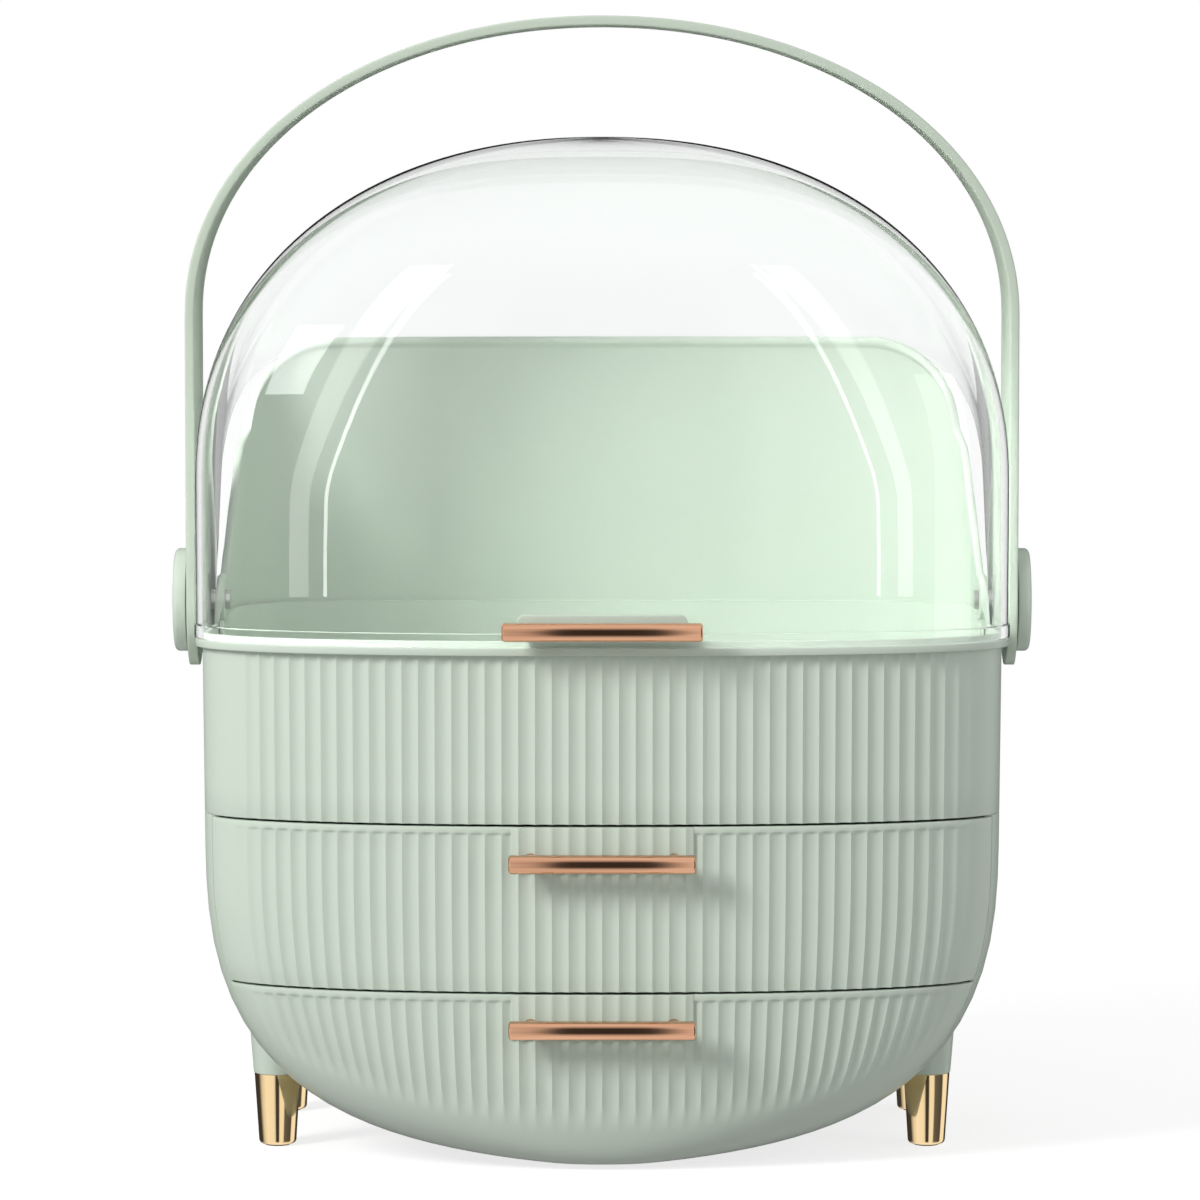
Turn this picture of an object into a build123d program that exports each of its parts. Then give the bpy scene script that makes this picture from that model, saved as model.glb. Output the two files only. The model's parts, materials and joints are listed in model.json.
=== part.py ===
"""Egg-shaped vanity organizer: a fluted body with two drawers, a clear swing-back lid
and a carry handle. Millimetres, +Z up, front towards -Y.

Everything is drawn about the pivot axis (y = 0 is the pivot plane) and moved by
pivot_y when it is saved, so that the whole object is centred on the Z axis."""
from build123d import *
from math import cos, radians, sin, sqrt
import os

os.makedirs("parts", exist_ok=True)

# Body, seen from the front
body_half_width = 148.0
bowl_bottom = 1.0
waist_height = 120.0
bowl_power = 2.77
side_taper = 0.009
rim_top = 193.3
rim_thickness = 3.0
rim_overhang = 2.6
wall = 2.5

# Body, seen from above
front_reach = 92.5
front_side_start = 45.0
front_power = 2.3
rear_reach = 92.5
rear_side_start = 20.0
rear_power = 5.0
rear_inset = 0.3
heel_height = 80.0
heel_depth = 18.0
heel_power = 3.4

# Seams between the tray and the drawer fronts
upper_seam = 128.1
lower_seam = 66.7
seam_gap = 0.8
parting_y = -58.0
parting_gap = 0.5
front_wall = 3.0
top_band = 2.0
band_step = 0.3

# Flutes
flute_pitch = 6.1
flute_end_room = 0.5
flute_depth = 0.9
flute_faint = 0.08
flute_edge_inset = 11.0
flute_foot = 14.0
flute_foot_rise = 26.0
flute_fade = 12.0
flute_lean_power = 2.0

# Drawer boxes and the shelf between them
shelf = 2.0
box_wall = 2.0
box_gap = 0.4
box_floor = 2.0
rib_height = 1.5
rib_width = 3.0
rib_sink = 0.4
rib_front_room = 4.0
rib_rear_room = 20.0
slide_gap = 0.3
upper_rib_x = 90.0
lower_rib_x = 30.0
upper_box_side_room = 17.0
upper_box_rear_room = 14.5
upper_box_headroom = 6.1
lower_box_side_room = 38.0
lower_box_rear_room = 24.5
lower_box_headroom = 6.7
lower_box_floor = 7.0

# Pivot, on the X axis at y = 0
pivot_rise = 10.3
pin_radius = 4.0
pin_depth = 5.0
running_gap = 0.05
ear_radius = 10.0
boss_radius = 9.0
cap_radius = 19.4
cap_thickness = 4.9
cap_round = 1.8
cap_socket = 3.0
cap_gap = 0.7
strap_gap = 1.5
washer_play = 0.15
lid_washer_radius = 8.0
cap_washer_radius = 6.5
screw_radius = 1.5
screw_head_radius = 3.6
screw_head = 2.0
pivot_screw_length = 9.0

# Lid
lid_gap = 0.4
lid_wall = 2.0
lid_seat_gap = 0.2
lid_shoulder_rise = 57.3
lid_rise = 184.6
lid_power = 2.2
lid_crown_angle = 86.5
lid_lip_height = 5.0
lid_lip_thickness = 0.6
lid_lip_end = -12.0
lid_edge_lap = 5.0

# Tray rim
rim_round = 0.6
seat_rise = 2.2
seat_sink = 1.0

# Back wall
back_rise = 107.7
back_side_lean = 0.09
back_rear_lean = 0.06
back_corner_radius = 32.0
back_top_draw_in = 9.5
back_edge_slope = 0.82
tongue_depth = 15.0
tongue_gap = 0.2
tongue_wall = 2.0
ledge = 3.0

# Carry handle
strap_thickness = 3.6
strap_half_depth = 24.6
handle_spring_rise = 107.6
hand_room = 44.9
handle_power = 2.06

# Legs and feet
leg_side_inset = 26.0
front_leg_inset = 67.5
rear_leg_inset = 37.5
foot_height = 27.5
foot_top_radius = 8.65
foot_bottom_radius = 7.0
foot_round = 1.6
foot_wall = 1.2
foot_floor = 3.0
pad_radius = 4.6
pad_thickness = 1.6
pad_stand = 0.5
stem_radius = 8.9
stem_flare = 0.08
stem_top = 60.0
stud_radius = 2.5
stud_bottom = 12.0
stud_top = 44.0
stud_boss_radius = 6.0
stud_boss_bottom = 20.0
stud_boss_top = 46.0

# Screws that hold the tray on the casing
tray_screw_inset = 8.6
tray_screw_y = (-38.0, 30.0)
tray_screw_length = 16.0
tray_boss_radius = 4.6
tray_boss_depth = 20.0
tray_web_shift = 4.0
tray_web_half_width = 3.0
tray_web_half_thickness = 1.0

# Pull bars
bar_height = 6.8
bar_depth = 4.6
bar_flat = 2.0
bar_bevel = 0.7
drawer_bar_length = 68.0
lid_bar_length = 72.6
bar_standoff = 6.5
lid_bar_standoff = 5.0
post_radius = 2.6
post_spacing = 52.0
base_half_width = 33.3
base_raise = 1.0
base_drop = 16.5
base_back = 4.0
upper_bar_drop = 12.9
lower_bar_drop = 12.2
lid_bar_rise = 6.4
lid_base_half_width = 31.0
lid_base_top_rise = 12.2
lid_base_bottom_rise = 2.9
lid_base_round = 3.0
lid_base_thickness = 1.6
pull_screw_head = 1.6
pull_screw_bite = 4.0
screw_pad = 2.2
screw_pad_rim = 0.6
lid_screw_stand = 1.2

# Heights above the bowl's bottom, and turns round the plan, at which curves are drawn
bowl_rises = (0.0, 0.6, 2.0, 4.5, 8.0, 12.5, 18.0, 24.5, 32.0, 43.0, 57.0, 72.0, 89.0, 109.0)
bowl_close = 0.02
front_bottom_rise = 1.0
dome_steps = 13
least_step = 0.5
past = 1.0
front_turns = (90, 80, 66, 52, 40, 27, 15, 6, 0)
rear_turns = (90, 89, 84, 72, 55, 40, 27, 15, 6, 0)

bowl_levels = [bowl_bottom + rise for rise in bowl_rises]
tray_bottom = upper_seam + seam_gap / 2
rim_bottom = rim_top - rim_thickness
flute_edge = body_half_width - flute_edge_inset
pivot_z = rim_top + pivot_rise
pin_inner_x = body_half_width - pin_depth
lid_outer = lid_gap + lid_wall
lid_bottom = rim_top + lid_seat_gap
lid_shoulder = rim_top + lid_shoulder_rise
lid_top = rim_top + lid_rise
back_top = rim_top + back_rise
back_top_half_width = body_half_width - back_top_draw_in
handle_spring_z = pivot_z + handle_spring_rise
handle_top = lid_top + hand_room
strap_inner_x = body_half_width + lid_outer + strap_gap
strap_outer_x = strap_inner_x + strap_thickness
cap_inner_x = strap_outer_x + cap_gap
cap_outer_x = cap_inner_x + cap_thickness
lid_pull_face = front_reach + lid_outer + lid_lip_thickness + lid_base_thickness
lid_bar_z = rim_top + lid_bar_rise
lid_base_top = rim_top + lid_base_top_rise
lid_base_bottom = rim_top + lid_base_bottom_rise
leg_x = body_half_width - leg_side_inset
front_leg_y = front_leg_inset - front_reach
rear_leg_y = rear_reach - rear_leg_inset
tray_screw_x = body_half_width - tray_screw_inset
object_front = lid_pull_face + lid_bar_standoff + bar_depth
object_rear = rear_reach - rear_inset
pivot_y = (object_front - object_rear) / 2
trim_reach = cap_outer_x + object_front


def save(shape, name):
    """Writes one named piece, moved so that the object is centred on the Z axis."""
    export_step(Pos(0, pivot_y, 0) * shape, "parts/" + name + ".step")


def round_share(drop, power):
    """Width left at a given share of the way down a superellipse."""
    return max(1 - drop ** power, 0.0) ** (1 / power)


def half_width(z):
    """Half the body's width at a height, seen from the front."""
    share = 1.0
    if z < waist_height:
        share = round_share((waist_height - z) / (waist_height - bowl_bottom), bowl_power)
    return body_half_width * share - side_taper * (rim_top - z) * min(1.0, share * 4)


def heel(z):
    """How far the front and the rear draw in at a height, seen from the side."""
    if z >= heel_height:
        return 0.0
    drop = (heel_height - z) / (heel_height - bowl_bottom)
    return heel_depth * (1 - round_share(drop, heel_power))


def front_plan(z, inset=0.0):
    """Half width, side start and reach of the front's plan curve at a height."""
    reach = front_reach - heel(z)
    start = front_side_start * reach / front_reach
    return max(half_width(z) - inset, 2.0), start, reach - inset


def front_y(x, plan):
    """Place on the front's plan curve at a distance from the middle."""
    width, start, reach = plan
    return -start - (reach - start) * round_share(min(abs(x) / width, 1.0), front_power)


def front_x(y, plan):
    """Distance from the middle at which the front's plan curve passes y."""
    width, start, reach = plan
    return width * round_share(min(max((-y - start) / (reach - start), 0.0), 1.0), front_power)


def quarter(width, start, reach, power, turns):
    """Quarter of a superellipse in plan, from the middle out to the side, as (x, y)."""
    points = []
    for degrees in turns:
        a = radians(degrees)
        points.append((width * cos(a) ** (2 / power), start + (reach - start) * sin(a) ** (2 / power)))
    return points


def both_halves(points, z):
    """The mirrored and the given half of a plan curve, from left to right."""
    left = [(-x, y, z) for x, y in reversed(points)]
    return left[:-1] + [(x, y, z) for x, y in points]


def plan_wire(z, width, start, reach, rear_start, rear):
    """Closed plan outline at a height: bowed front, straight sides and squarer rear."""
    front = both_halves(quarter(width, -start, -reach, front_power, front_turns), z)
    back = both_halves(quarter(width, rear_start, rear, rear_power, rear_turns), z)
    return Wire([
        Edge.make_spline(front),
        Edge.make_line(front[-1], back[-1]),
        Edge.make_spline(list(reversed(back))),
        Edge.make_line(back[0], front[0]),
    ])


def smooth_outline(z, level, inset):
    """Plan outline, at height z, of the body's smooth form at a level, drawn in by inset."""
    level = max(level, bowl_bottom + bowl_close)
    width, start, reach = front_plan(level, inset)
    rear = rear_reach - heel(level) - inset - rear_inset
    rear_start = rear_side_start * rear / rear_reach
    return plan_wire(z, width, start, reach, rear_start, rear)


def levels_between(low, high):
    """Drawing levels between two heights, with both heights at the ends."""
    inside = [z for z in bowl_levels if low + least_step < z < high - least_step]
    return [low] + inside + [high]


def body_solid(inset=0.0, lift=0.0, top=tray_bottom, bottom=None):
    """The body's smooth form up to a height, drawn in by inset and raised by lift."""
    low = bowl_bottom if bottom is None else bottom - lift
    levels = levels_between(low, top - lift)
    return Solid.make_loft([smooth_outline(z + lift, z, inset) for z in levels], ruled=True)


def parting_prism(inset, lift, low, top):
    """Prism along Y as wide as the body is at the parting, so that a drawer can slide out."""
    right = []
    for z in levels_between(low - lift, top - lift):
        right.append((front_x(parting_y, front_plan(z, inset)), z + lift))
    outline = [(-x, z) for x, z in reversed(right)] + right
    return extrude(Plane.XZ * make_face(Polyline(*outline, close=True)), trim_reach, both=True)


def arc_ridges():
    """Distances of the flute ridges from the middle, at a steady pitch along the curve."""
    plan = front_plan(rim_bottom)
    last = front_x(parting_y - parting_gap, plan) - flute_end_room
    ridges = [0.0]
    travelled = 0.0
    step = 0.05
    x = 0.0
    while x < last:
        rise = front_y(x + step, plan) - front_y(x, plan)
        travelled += sqrt(step * step + rise * rise)
        x += step
        if travelled >= flute_pitch * len(ridges):
            ridges.append(x)
    return [-r for r in reversed(ridges[1:])] + ridges


ridges = arc_ridges()


def ridge_x(ridge, z):
    """Where a ridge stands at a height: upright in the middle, leaning in at the sides."""
    edge_above = front_x(parting_y, front_plan(rim_bottom))
    edge = front_x(parting_y - parting_gap, front_plan(z))
    share = min(edge / edge_above, 1.0)
    if share > 0.999:
        return ridge * share
    power = min(flute_lean_power, 0.8 * share / (1 - share))
    t = abs(ridge) / edge_above
    return ridge * (1 - (1 - share) * t ** power)


def groove_depth(ridge, z, smooth):
    """Depth of a groove at a height; it fades at the sides and under the bowl."""
    if smooth:
        return flute_faint
    foot = flute_foot + flute_foot_rise * (ridge / flute_edge) ** 2
    up = min(max((z - foot) / flute_fade, 0.0), 1.0)
    in_from_edge = min(max((flute_edge - abs(ridge)) / flute_fade, 0.0), 1.0)
    return flute_faint + (flute_depth - flute_faint) * up * in_from_edge


def fluted_front(z, smooth=False):
    """Edges of the fluted plan curve at a height, from left to right of the parting."""
    plan = front_plan(z)
    y_end = parting_y - parting_gap
    end = front_x(y_end, plan)
    places = [-end] + [ridge_x(r, z) for r in ridges] + [end]
    edges = []
    for i in range(len(places) - 1):
        a = (places[i], front_y(places[i], plan))
        b = (places[i + 1], front_y(places[i + 1], plan))
        middle = (places[i] + places[i + 1]) / 2
        depth = 0.0
        if 0 < i < len(places) - 2:
            depth = groove_depth((ridges[i - 1] + ridges[i]) / 2, z, smooth)
        run = sqrt((b[0] - a[0]) ** 2 + (b[1] - a[1]) ** 2)
        normal = ((a[1] - b[1]) / run, (b[0] - a[0]) / run)
        base = (middle, front_y(middle, plan))
        if depth > 0:
            base = ((a[0] + b[0]) / 2, (a[1] + b[1]) / 2)
        dip = (base[0] + normal[0] * depth, base[1] + normal[1] * depth)
        edges.append(Edge.make_three_point_arc((a[0], a[1], z), (dip[0], dip[1], z), (b[0], b[1], z)))
    return edges, end, y_end


def front_block(levels):
    """Solid front between the parting plane and the fluted skin, through the levels."""
    sections = []
    for z, smooth in levels:
        edges, end, y_end = fluted_front(z, smooth)
        edges.append(Edge.make_line((end, y_end, z), (-end, y_end, z)))
        sections.append(Wire(edges))
    return Solid.make_loft(sections, ruled=True)


def slab(low, high, front=-trim_reach, rear=trim_reach, half=trim_reach):
    """Box between two heights, used to trim pieces."""
    return Pos(0, (front + rear) / 2, (low + high) / 2) * Box(2 * half, rear - front, high - low)


def along_x(radius, start, end, y=0.0, z=pivot_z):
    """Round bar along X."""
    return Pos((start + end) / 2, y, z) * Rot(0, 90, 0) * Cylinder(radius, abs(end - start))


def screw_down(x, y, head_z, length):
    """Pan-head screw that points down, its head standing on head_z."""
    head = Pos(x, y, head_z + screw_head / 2) * Cylinder(screw_head_radius, screw_head)
    head = fillet(head.edges().group_by(Axis.Z)[-1], screw_head * 0.4)
    return head + Pos(x, y, head_z - length / 2) * Cylinder(screw_radius, length)


def make_casing():
    """Lower casing: sides, rear and bowl floor, with the shelf between the drawers."""
    outer = body_solid()
    floor = lower_box_floor - slide_gap - rib_height
    hollow = body_solid(wall, wall, tray_bottom + past, floor)
    trim = slab(0.0, tray_bottom + past, front=parting_y)
    casing = (outer - hollow) & trim
    shelf_top = lower_seam + shelf / 2
    plate = body_solid(wall / 2, 0.0, shelf_top, shelf_top - shelf) & trim
    casing = casing + plate
    rib_end = rear_reach - upper_box_rear_room - rib_rear_room
    for side in (-1, 1):
        for low, x in ((floor, lower_rib_x), (shelf_top, upper_rib_x)):
            rib = slab(low - rib_sink, low + rib_height, parting_y + rib_front_room, rib_end, rib_width / 2)
            casing = casing + Pos(side * x, 0, 0) * rib
        for y in tray_screw_y:
            boss = Pos(side * tray_screw_x, y, tray_bottom - tray_boss_depth / 2)
            boss = boss * Cylinder(tray_boss_radius, tray_boss_depth)
            web = slab(tray_bottom - tray_boss_depth, tray_bottom,
                       y - tray_web_half_thickness, y + tray_web_half_thickness, tray_web_half_width)
            casing = casing + boss + Pos(side * (tray_screw_x + tray_web_shift), 0, 0) * web
            hole = Cylinder(screw_radius, tray_screw_length)
            casing = casing - Pos(side * tray_screw_x, y, tray_bottom - tray_screw_length / 2) * hole
        for y in (front_leg_y, rear_leg_y):
            boss_height = stud_boss_top - stud_boss_bottom
            boss = Cylinder(stud_boss_radius, boss_height)
            boss = Pos(side * leg_x, y, stud_boss_bottom + boss_height / 2) * boss
            boss = boss & body_solid(wall / 2, 0.0)
            casing = casing + boss
            hole = Pos(side * leg_x, y, stud_top / 2) * Cylinder(stud_radius, stud_top)
            casing = casing - hole
    return casing


def make_tray():
    """Upper tray: fluted front, side and rear walls, floor, and the rim the lid sits on."""
    trim = slab(tray_bottom, rim_top)
    smooth = body_solid(0.0, 0.0, rim_top, tray_bottom)
    behind = smooth & slab(tray_bottom, rim_top, front=parting_y - parting_gap)
    front = front_block([(tray_bottom, False), (rim_bottom, False)])
    flange = body_solid(-rim_overhang, 0.0, rim_top, rim_bottom)
    flange = flange & slab(rim_bottom, rim_top, rear=lid_lip_end)
    flange = fillet(flange.edges().group_by(Axis.Z)[-1].filter_by(GeomType.BSPLINE), rim_round)
    lip = body_solid(lid_gap, 0.0, rim_top + seat_rise, rim_top - seat_sink)
    lip = lip & slab(rim_top - seat_sink, rim_top + seat_rise, rear=lid_lip_end)
    hollow = body_solid(wall, 0.0, rim_top + seat_rise + past, tray_bottom + wall)
    tray = (behind & trim) + front + flange + lip - hollow
    for side in (-1, 1):
        for y in tray_screw_y:
            hole = Cylinder(screw_radius, 3 * wall)
            tray = tray - Pos(side * tray_screw_x, y, tray_bottom) * hole
    return tray


def back_edge_y(z):
    """Front edge of the back wall in the side view; it leans back from the pivot."""
    return (z - pivot_z) * back_edge_slope


def side_prism(points, half=trim_reach):
    """Prism along X with an outline given in the side view as (y, z)."""
    face = make_face(Polyline(*[(y, z) for y, z in points], close=True))
    return extrude(Plane.YZ * face, half, both=True)


def back_outline(z, inset):
    """Plan outline of the back wall at a height; only its rear half is used."""
    up = max(z - rim_top, 0.0)
    width = half_width(rim_top) - rear_inset - inset - back_side_lean * up
    rear = rear_reach - rear_inset - inset - back_rear_lean * up
    back = both_halves(quarter(width, rear_side_start, rear, rear_power, rear_turns), z)
    front_left = (-width, -ear_radius - past, z)
    front_right = (width, -ear_radius - past, z)
    return Wire([
        Edge.make_spline(list(reversed(back))),
        Edge.make_line(back[0], front_left),
        Edge.make_line(front_left, front_right),
        Edge.make_line(front_right, back[-1]),
    ])


def back_side_face(low):
    """Side view of the back wall: pivot ear in front, edge sloping up to the rear."""
    run = sqrt(1 + back_edge_slope ** 2)
    ear_end = (ear_radius * back_edge_slope / run, pivot_z + ear_radius / run)
    ear_top = (-ear_radius * sin(radians(20)), pivot_z + ear_radius * cos(radians(20)))
    high = back_top + past
    edges = [
        Edge.make_line((-ear_radius, low), (-ear_radius, pivot_z)),
        Edge.make_three_point_arc((-ear_radius, pivot_z), ear_top, ear_end),
        Edge.make_line(ear_end, (back_edge_y(high), high)),
        Edge.make_line((back_edge_y(high), high), (trim_reach, high)),
        Edge.make_line((trim_reach, high), (trim_reach, low)),
        Edge.make_line((trim_reach, low), (-ear_radius, low)),
    ]
    return make_face(edges)


def back_front_face(low):
    """Front view of the back wall: sides that lean in and rounded top corners."""
    c = back_top_half_width - back_corner_radius
    corner_z = back_top - back_corner_radius
    reach = back_corner_radius * cos(radians(45))
    wide = body_half_width + back_corner_radius / 2
    right = [(wide, low), (wide, rim_top), (back_top_half_width, corner_z)]
    edges = [Edge.make_line((-wide, low), (wide, low)), Edge.make_line((-c, back_top), (c, back_top))]
    for side in (-1, 1):
        at = [(side * x, z) for x, z in right]
        edges.append(Edge.make_line(at[0], at[1]))
        edges.append(Edge.make_line(at[1], at[2]))
        edges.append(Edge.make_three_point_arc(
            at[2], (side * (c + reach), corner_z + reach), (side * c, back_top)))
    return make_face(edges)


def back_loft(low, high, inset):
    """Solid inside the back wall's outline between two heights, drawn in by inset."""
    levels = sorted({low, max(low, min(rim_top, high)), high})
    return Solid.make_loft([back_outline(z, inset) for z in levels], ruled=True)


def make_back_wall():
    """Tall curved back wall with the pivot ears and a tongue that seats in the tray."""
    low = rim_top - tongue_depth
    inner_inset = wall + tongue_gap + tongue_wall
    block = back_loft(rim_top, back_top, 0.0)
    block = block + back_loft(low, rim_top + ledge / 2, wall + tongue_gap)
    block = block - back_loft(low - past, rim_top + ledge + past, inner_inset)
    block = block - back_loft(rim_top + ledge, back_top + past, wall)
    shell = block & extrude(Plane.YZ * back_side_face(low - past), trim_reach, both=True)
    shell = shell & extrude(Plane.XZ * back_front_face(low - past), trim_reach, both=True)
    for side in (-1, 1):
        boss = along_x(boss_radius, side * pin_inner_x, side * (body_half_width - wall / 2))
        bore = along_x(pin_radius, side * (pin_inner_x - past), side * trim_reach)
        shell = shell + boss - bore
    return shell


def dome_outline(z, width, front, rear, share):
    """Plan outline of the lid at a height, scaled in by share."""
    start = front_side_start * share
    reach = front * share
    rear_start = rear_side_start * share
    return plan_wire(z, width * share, start, reach, rear_start, rear * share)


def dome_solid(outset, rise, low):
    """Solid dome: upright to the shoulder and rounded over above it."""
    width = body_half_width + outset
    front = front_reach + outset
    rear = rear_reach + outset
    sections = [dome_outline(low, width, front, rear, 1.0)]
    for i in range(dome_steps + 1):
        a = radians(lid_crown_angle) * i / dome_steps
        share = cos(a) ** (2 / lid_power)
        z = lid_shoulder + (rise - lid_shoulder) * sin(a) ** (2 / lid_power)
        sections.append(dome_outline(z, width, front, rear, share))
    return Solid.make_loft(sections, ruled=True)


def make_lid():
    """Clear lid: a thin dome with pivot ears and a thicker lip along its lower edge."""
    outer = dome_solid(lid_outer, lid_top, lid_bottom)
    inner = dome_solid(lid_gap, lid_top - lid_wall, lid_bottom - past)
    lip = dome_solid(lid_outer + lid_lip_thickness, lid_top, lid_bottom)
    lip = lip & slab(lid_bottom, lid_bottom + lid_lip_height, rear=lid_lip_end)
    shell = (outer + lip) - inner
    lap = lid_edge_lap * sqrt(1 + back_edge_slope ** 2)
    low = lid_bottom - past
    high = lid_top + past
    ahead = side_prism([
        (back_edge_y(low) + lap, low), (back_edge_y(high) + lap, high),
        (-trim_reach, high), (-trim_reach, low),
    ])
    over_back = slab(back_edge_z(rear_reach) - lid_edge_lap, high)
    ear = along_x(ear_radius - lid_seat_gap, -trim_reach, trim_reach)
    front_part = ahead - slab(low - past, pivot_z, 0.0)
    shell = shell & (front_part + over_back + ear)
    shell = shell & slab(lid_bottom, high)
    for side in (-1, 1):
        bore = along_x(pin_radius + running_gap, side * pin_inner_x, side * trim_reach)
        shell = shell - bore
    return shell


def back_edge_z(y):
    """Height at which the back wall's sloping edge reaches y."""
    return min(pivot_z + y / back_edge_slope, back_top)


def handle_curve(half, top):
    """Half of the handle's arch, from its top to the spring line, as (x, z) points."""
    points = []
    for degrees in (90, 80, 70, 60, 50, 40, 30, 20, 10, 0):
        a = radians(degrees)
        x = half * cos(a) ** (2 / handle_power)
        points.append((x, handle_spring_z + (top - handle_spring_z) * sin(a) ** (2 / handle_power)))
    return points


def handle_face(half, top):
    """The area under the arch, down to the bottom of the strap's round ends."""
    right = handle_curve(half, top)
    low = pivot_z - strap_half_depth
    left = [(-x, z) for x, z in reversed(right)]
    curve = Spline(*(left[:-1] + right), tangents=[(0, 1), (0, -1)])
    legs = Polyline((half, handle_spring_z), (half, low), (-half, low), (-half, handle_spring_z))
    return make_face([curve.edge()] + list(legs.edges()))


def make_handle():
    """Carry handle: one wide thin strap bent into an arch, with round ends at the pivots."""
    band = handle_face(strap_outer_x, handle_top) - handle_face(strap_inner_x, handle_top - strap_thickness)
    strap = extrude(Plane.XZ * band, strap_half_depth, both=True)
    keep = slab(pivot_z, handle_top + past) + along_x(strap_half_depth, -trim_reach, trim_reach)
    strap = strap & keep
    for side in (-1, 1):
        strap = strap - along_x(pin_radius + running_gap, side * pin_inner_x, side * trim_reach)
    return strap


def make_pivot(side):
    """The pin, washers, cap and screw of one pivot, by node name."""
    pin_end = cap_inner_x + cap_socket
    pin = along_x(pin_radius, side * pin_inner_x, side * pin_end)
    pin = pin - along_x(screw_radius, side * pin_inner_x, side * (pin_inner_x + pivot_screw_length))
    lid_face = body_half_width + lid_outer
    inner = along_x(lid_washer_radius, side * (lid_face + washer_play), side * (strap_inner_x - washer_play))
    outer = along_x(cap_washer_radius, side * (strap_outer_x + washer_play), side * cap_inner_x)
    bore = along_x(pin_radius, side * lid_face, side * cap_inner_x)
    cap = along_x(cap_radius, side * cap_inner_x, side * cap_outer_x)
    rim = cap.edges().filter_by(GeomType.CIRCLE).sort_by(lambda e: abs(e.center().X))[-1]
    cap = fillet(rim, cap_round) - along_x(pin_radius, side * cap_inner_x, side * pin_end)
    head = along_x(screw_head_radius, side * (pin_inner_x - screw_head), side * pin_inner_x)
    shank = along_x(screw_radius, side * pin_inner_x, side * (pin_inner_x + pivot_screw_length))
    screw = head + shank
    return {"pin": pin, "lid_washer": inner - bore, "handle_washer": outer - bore, "cap": cap, "screw": screw}


def make_leg(x, y):
    """Stem, foot cap, pad and stud of one leg, by node name."""
    stem_height = stem_top - foot_height
    flare = stem_radius + stem_flare * stem_height
    stem = Pos(x, y, foot_height + stem_height / 2) * Cone(stem_radius, flare, stem_height)
    stem = stem - body_solid()
    stem = stem.solids().sort_by(Axis.Z)[0]
    inner_top = foot_top_radius - foot_wall
    taper = (foot_top_radius - foot_bottom_radius) / foot_height
    inner_bottom = inner_top - taper * (foot_height - foot_floor)
    spigot = Cone(inner_bottom, inner_top, foot_height - foot_floor)
    spigot = Pos(x, y, (foot_height + foot_floor) / 2) * spigot
    cap_height = foot_height - pad_stand
    outer = Pos(x, y, pad_stand + cap_height / 2) * Cone(foot_bottom_radius, foot_top_radius, cap_height)
    outer = fillet(outer.edges().sort_by(Axis.Z)[0], foot_round)
    cap = outer - spigot
    pad = Pos(x, y, pad_thickness / 2) * Cylinder(pad_radius, pad_thickness)
    cap = cap - pad
    stud_length = stud_top - stud_bottom
    stud = Pos(x, y, stud_bottom + stud_length / 2) * Cylinder(stud_radius, stud_length)
    return {"stem": stem + spigot - stud, "cap": cap, "pad": pad, "stud": stud}


def drawer_front(levels, floor):
    """Curved fluted front of a drawer: a bowed wall, closed underneath when floor is given."""
    block = front_block(levels)
    top = levels[0][0]
    low = levels[-1][0]
    if floor is None:
        hollow = body_solid(front_wall, 0.0, top + past, low - past)
    else:
        hollow = body_solid(front_wall, front_wall, top + past, floor)
    return block - hollow


def drawer_box(low, top, half, rear, lift):
    """Drawer box: floor, sides, rear and a front that follows the bowed front."""
    gap = front_wall + box_gap
    outer = body_solid(gap, lift, top, low) & parting_prism(gap, lift, low, top)
    outer = outer & slab(low, top, rear=rear, half=half)
    lift_inside = lift + (box_floor if lift else 0.0)
    high = top + past
    inside = gap + box_wall
    inner = body_solid(inside, lift_inside, high, low + box_floor)
    inner = inner & parting_prism(inside, lift_inside, low + box_floor, high)
    inner = inner & slab(low + box_floor, high, rear=rear - box_wall, half=half - box_wall)
    return outer - inner


def front_face_y(z):
    """The front's ridge line in the middle."""
    return -(front_reach - heel(z))


def pull_bar(length, z, face_y, standoff):
    """Pull bar: a half-round bar with bevelled ends on two posts."""
    back = face_y - standoff
    mid = bar_depth - bar_flat
    profile = [
        (back, z - bar_height / 2), (back - bar_flat, z - bar_height / 2),
        (back - bar_flat - mid * 0.72, z - bar_height * 0.32), (back - bar_depth, z - bar_height * 0.12),
        (back - bar_depth, z + bar_height * 0.12), (back - bar_flat - mid * 0.72, z + bar_height * 0.32),
        (back - bar_flat, z + bar_height / 2), (back, z + bar_height / 2),
    ]
    bar = side_prism(profile, length / 2)
    ends = bar.faces().sort_by(Axis.X)
    bar = chamfer(ends[0].edges() + ends[-1].edges(), bar_bevel)
    for side in (-1, 1):
        post = Pos(side * post_spacing / 2, (face_y + back) / 2, z) * Rot(90, 0, 0)
        bar = bar + post * Cylinder(post_radius, standoff)
        bite = Pos(side * post_spacing / 2, face_y - pull_screw_bite / 2, z) * Rot(90, 0, 0)
        bar = bar - bite * Cylinder(screw_radius, pull_screw_bite)
    return bar


def pull_screws(z, face_y, inner_y):
    """Two screws from inside the front into the bar's posts, heads standing on inner_y."""
    screws = []
    for side in (-1, 1):
        x = side * post_spacing / 2
        shank_end = face_y - pull_screw_bite
        shank = Pos(x, (inner_y + shank_end) / 2, z) * Rot(90, 0, 0)
        shank = shank * Cylinder(screw_radius, inner_y - shank_end)
        head = Pos(x, inner_y + pull_screw_head / 2, z) * Rot(90, 0, 0)
        screws.append(shank + head * Cylinder(screw_head_radius, pull_screw_head))
    return Compound(screws)


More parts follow.
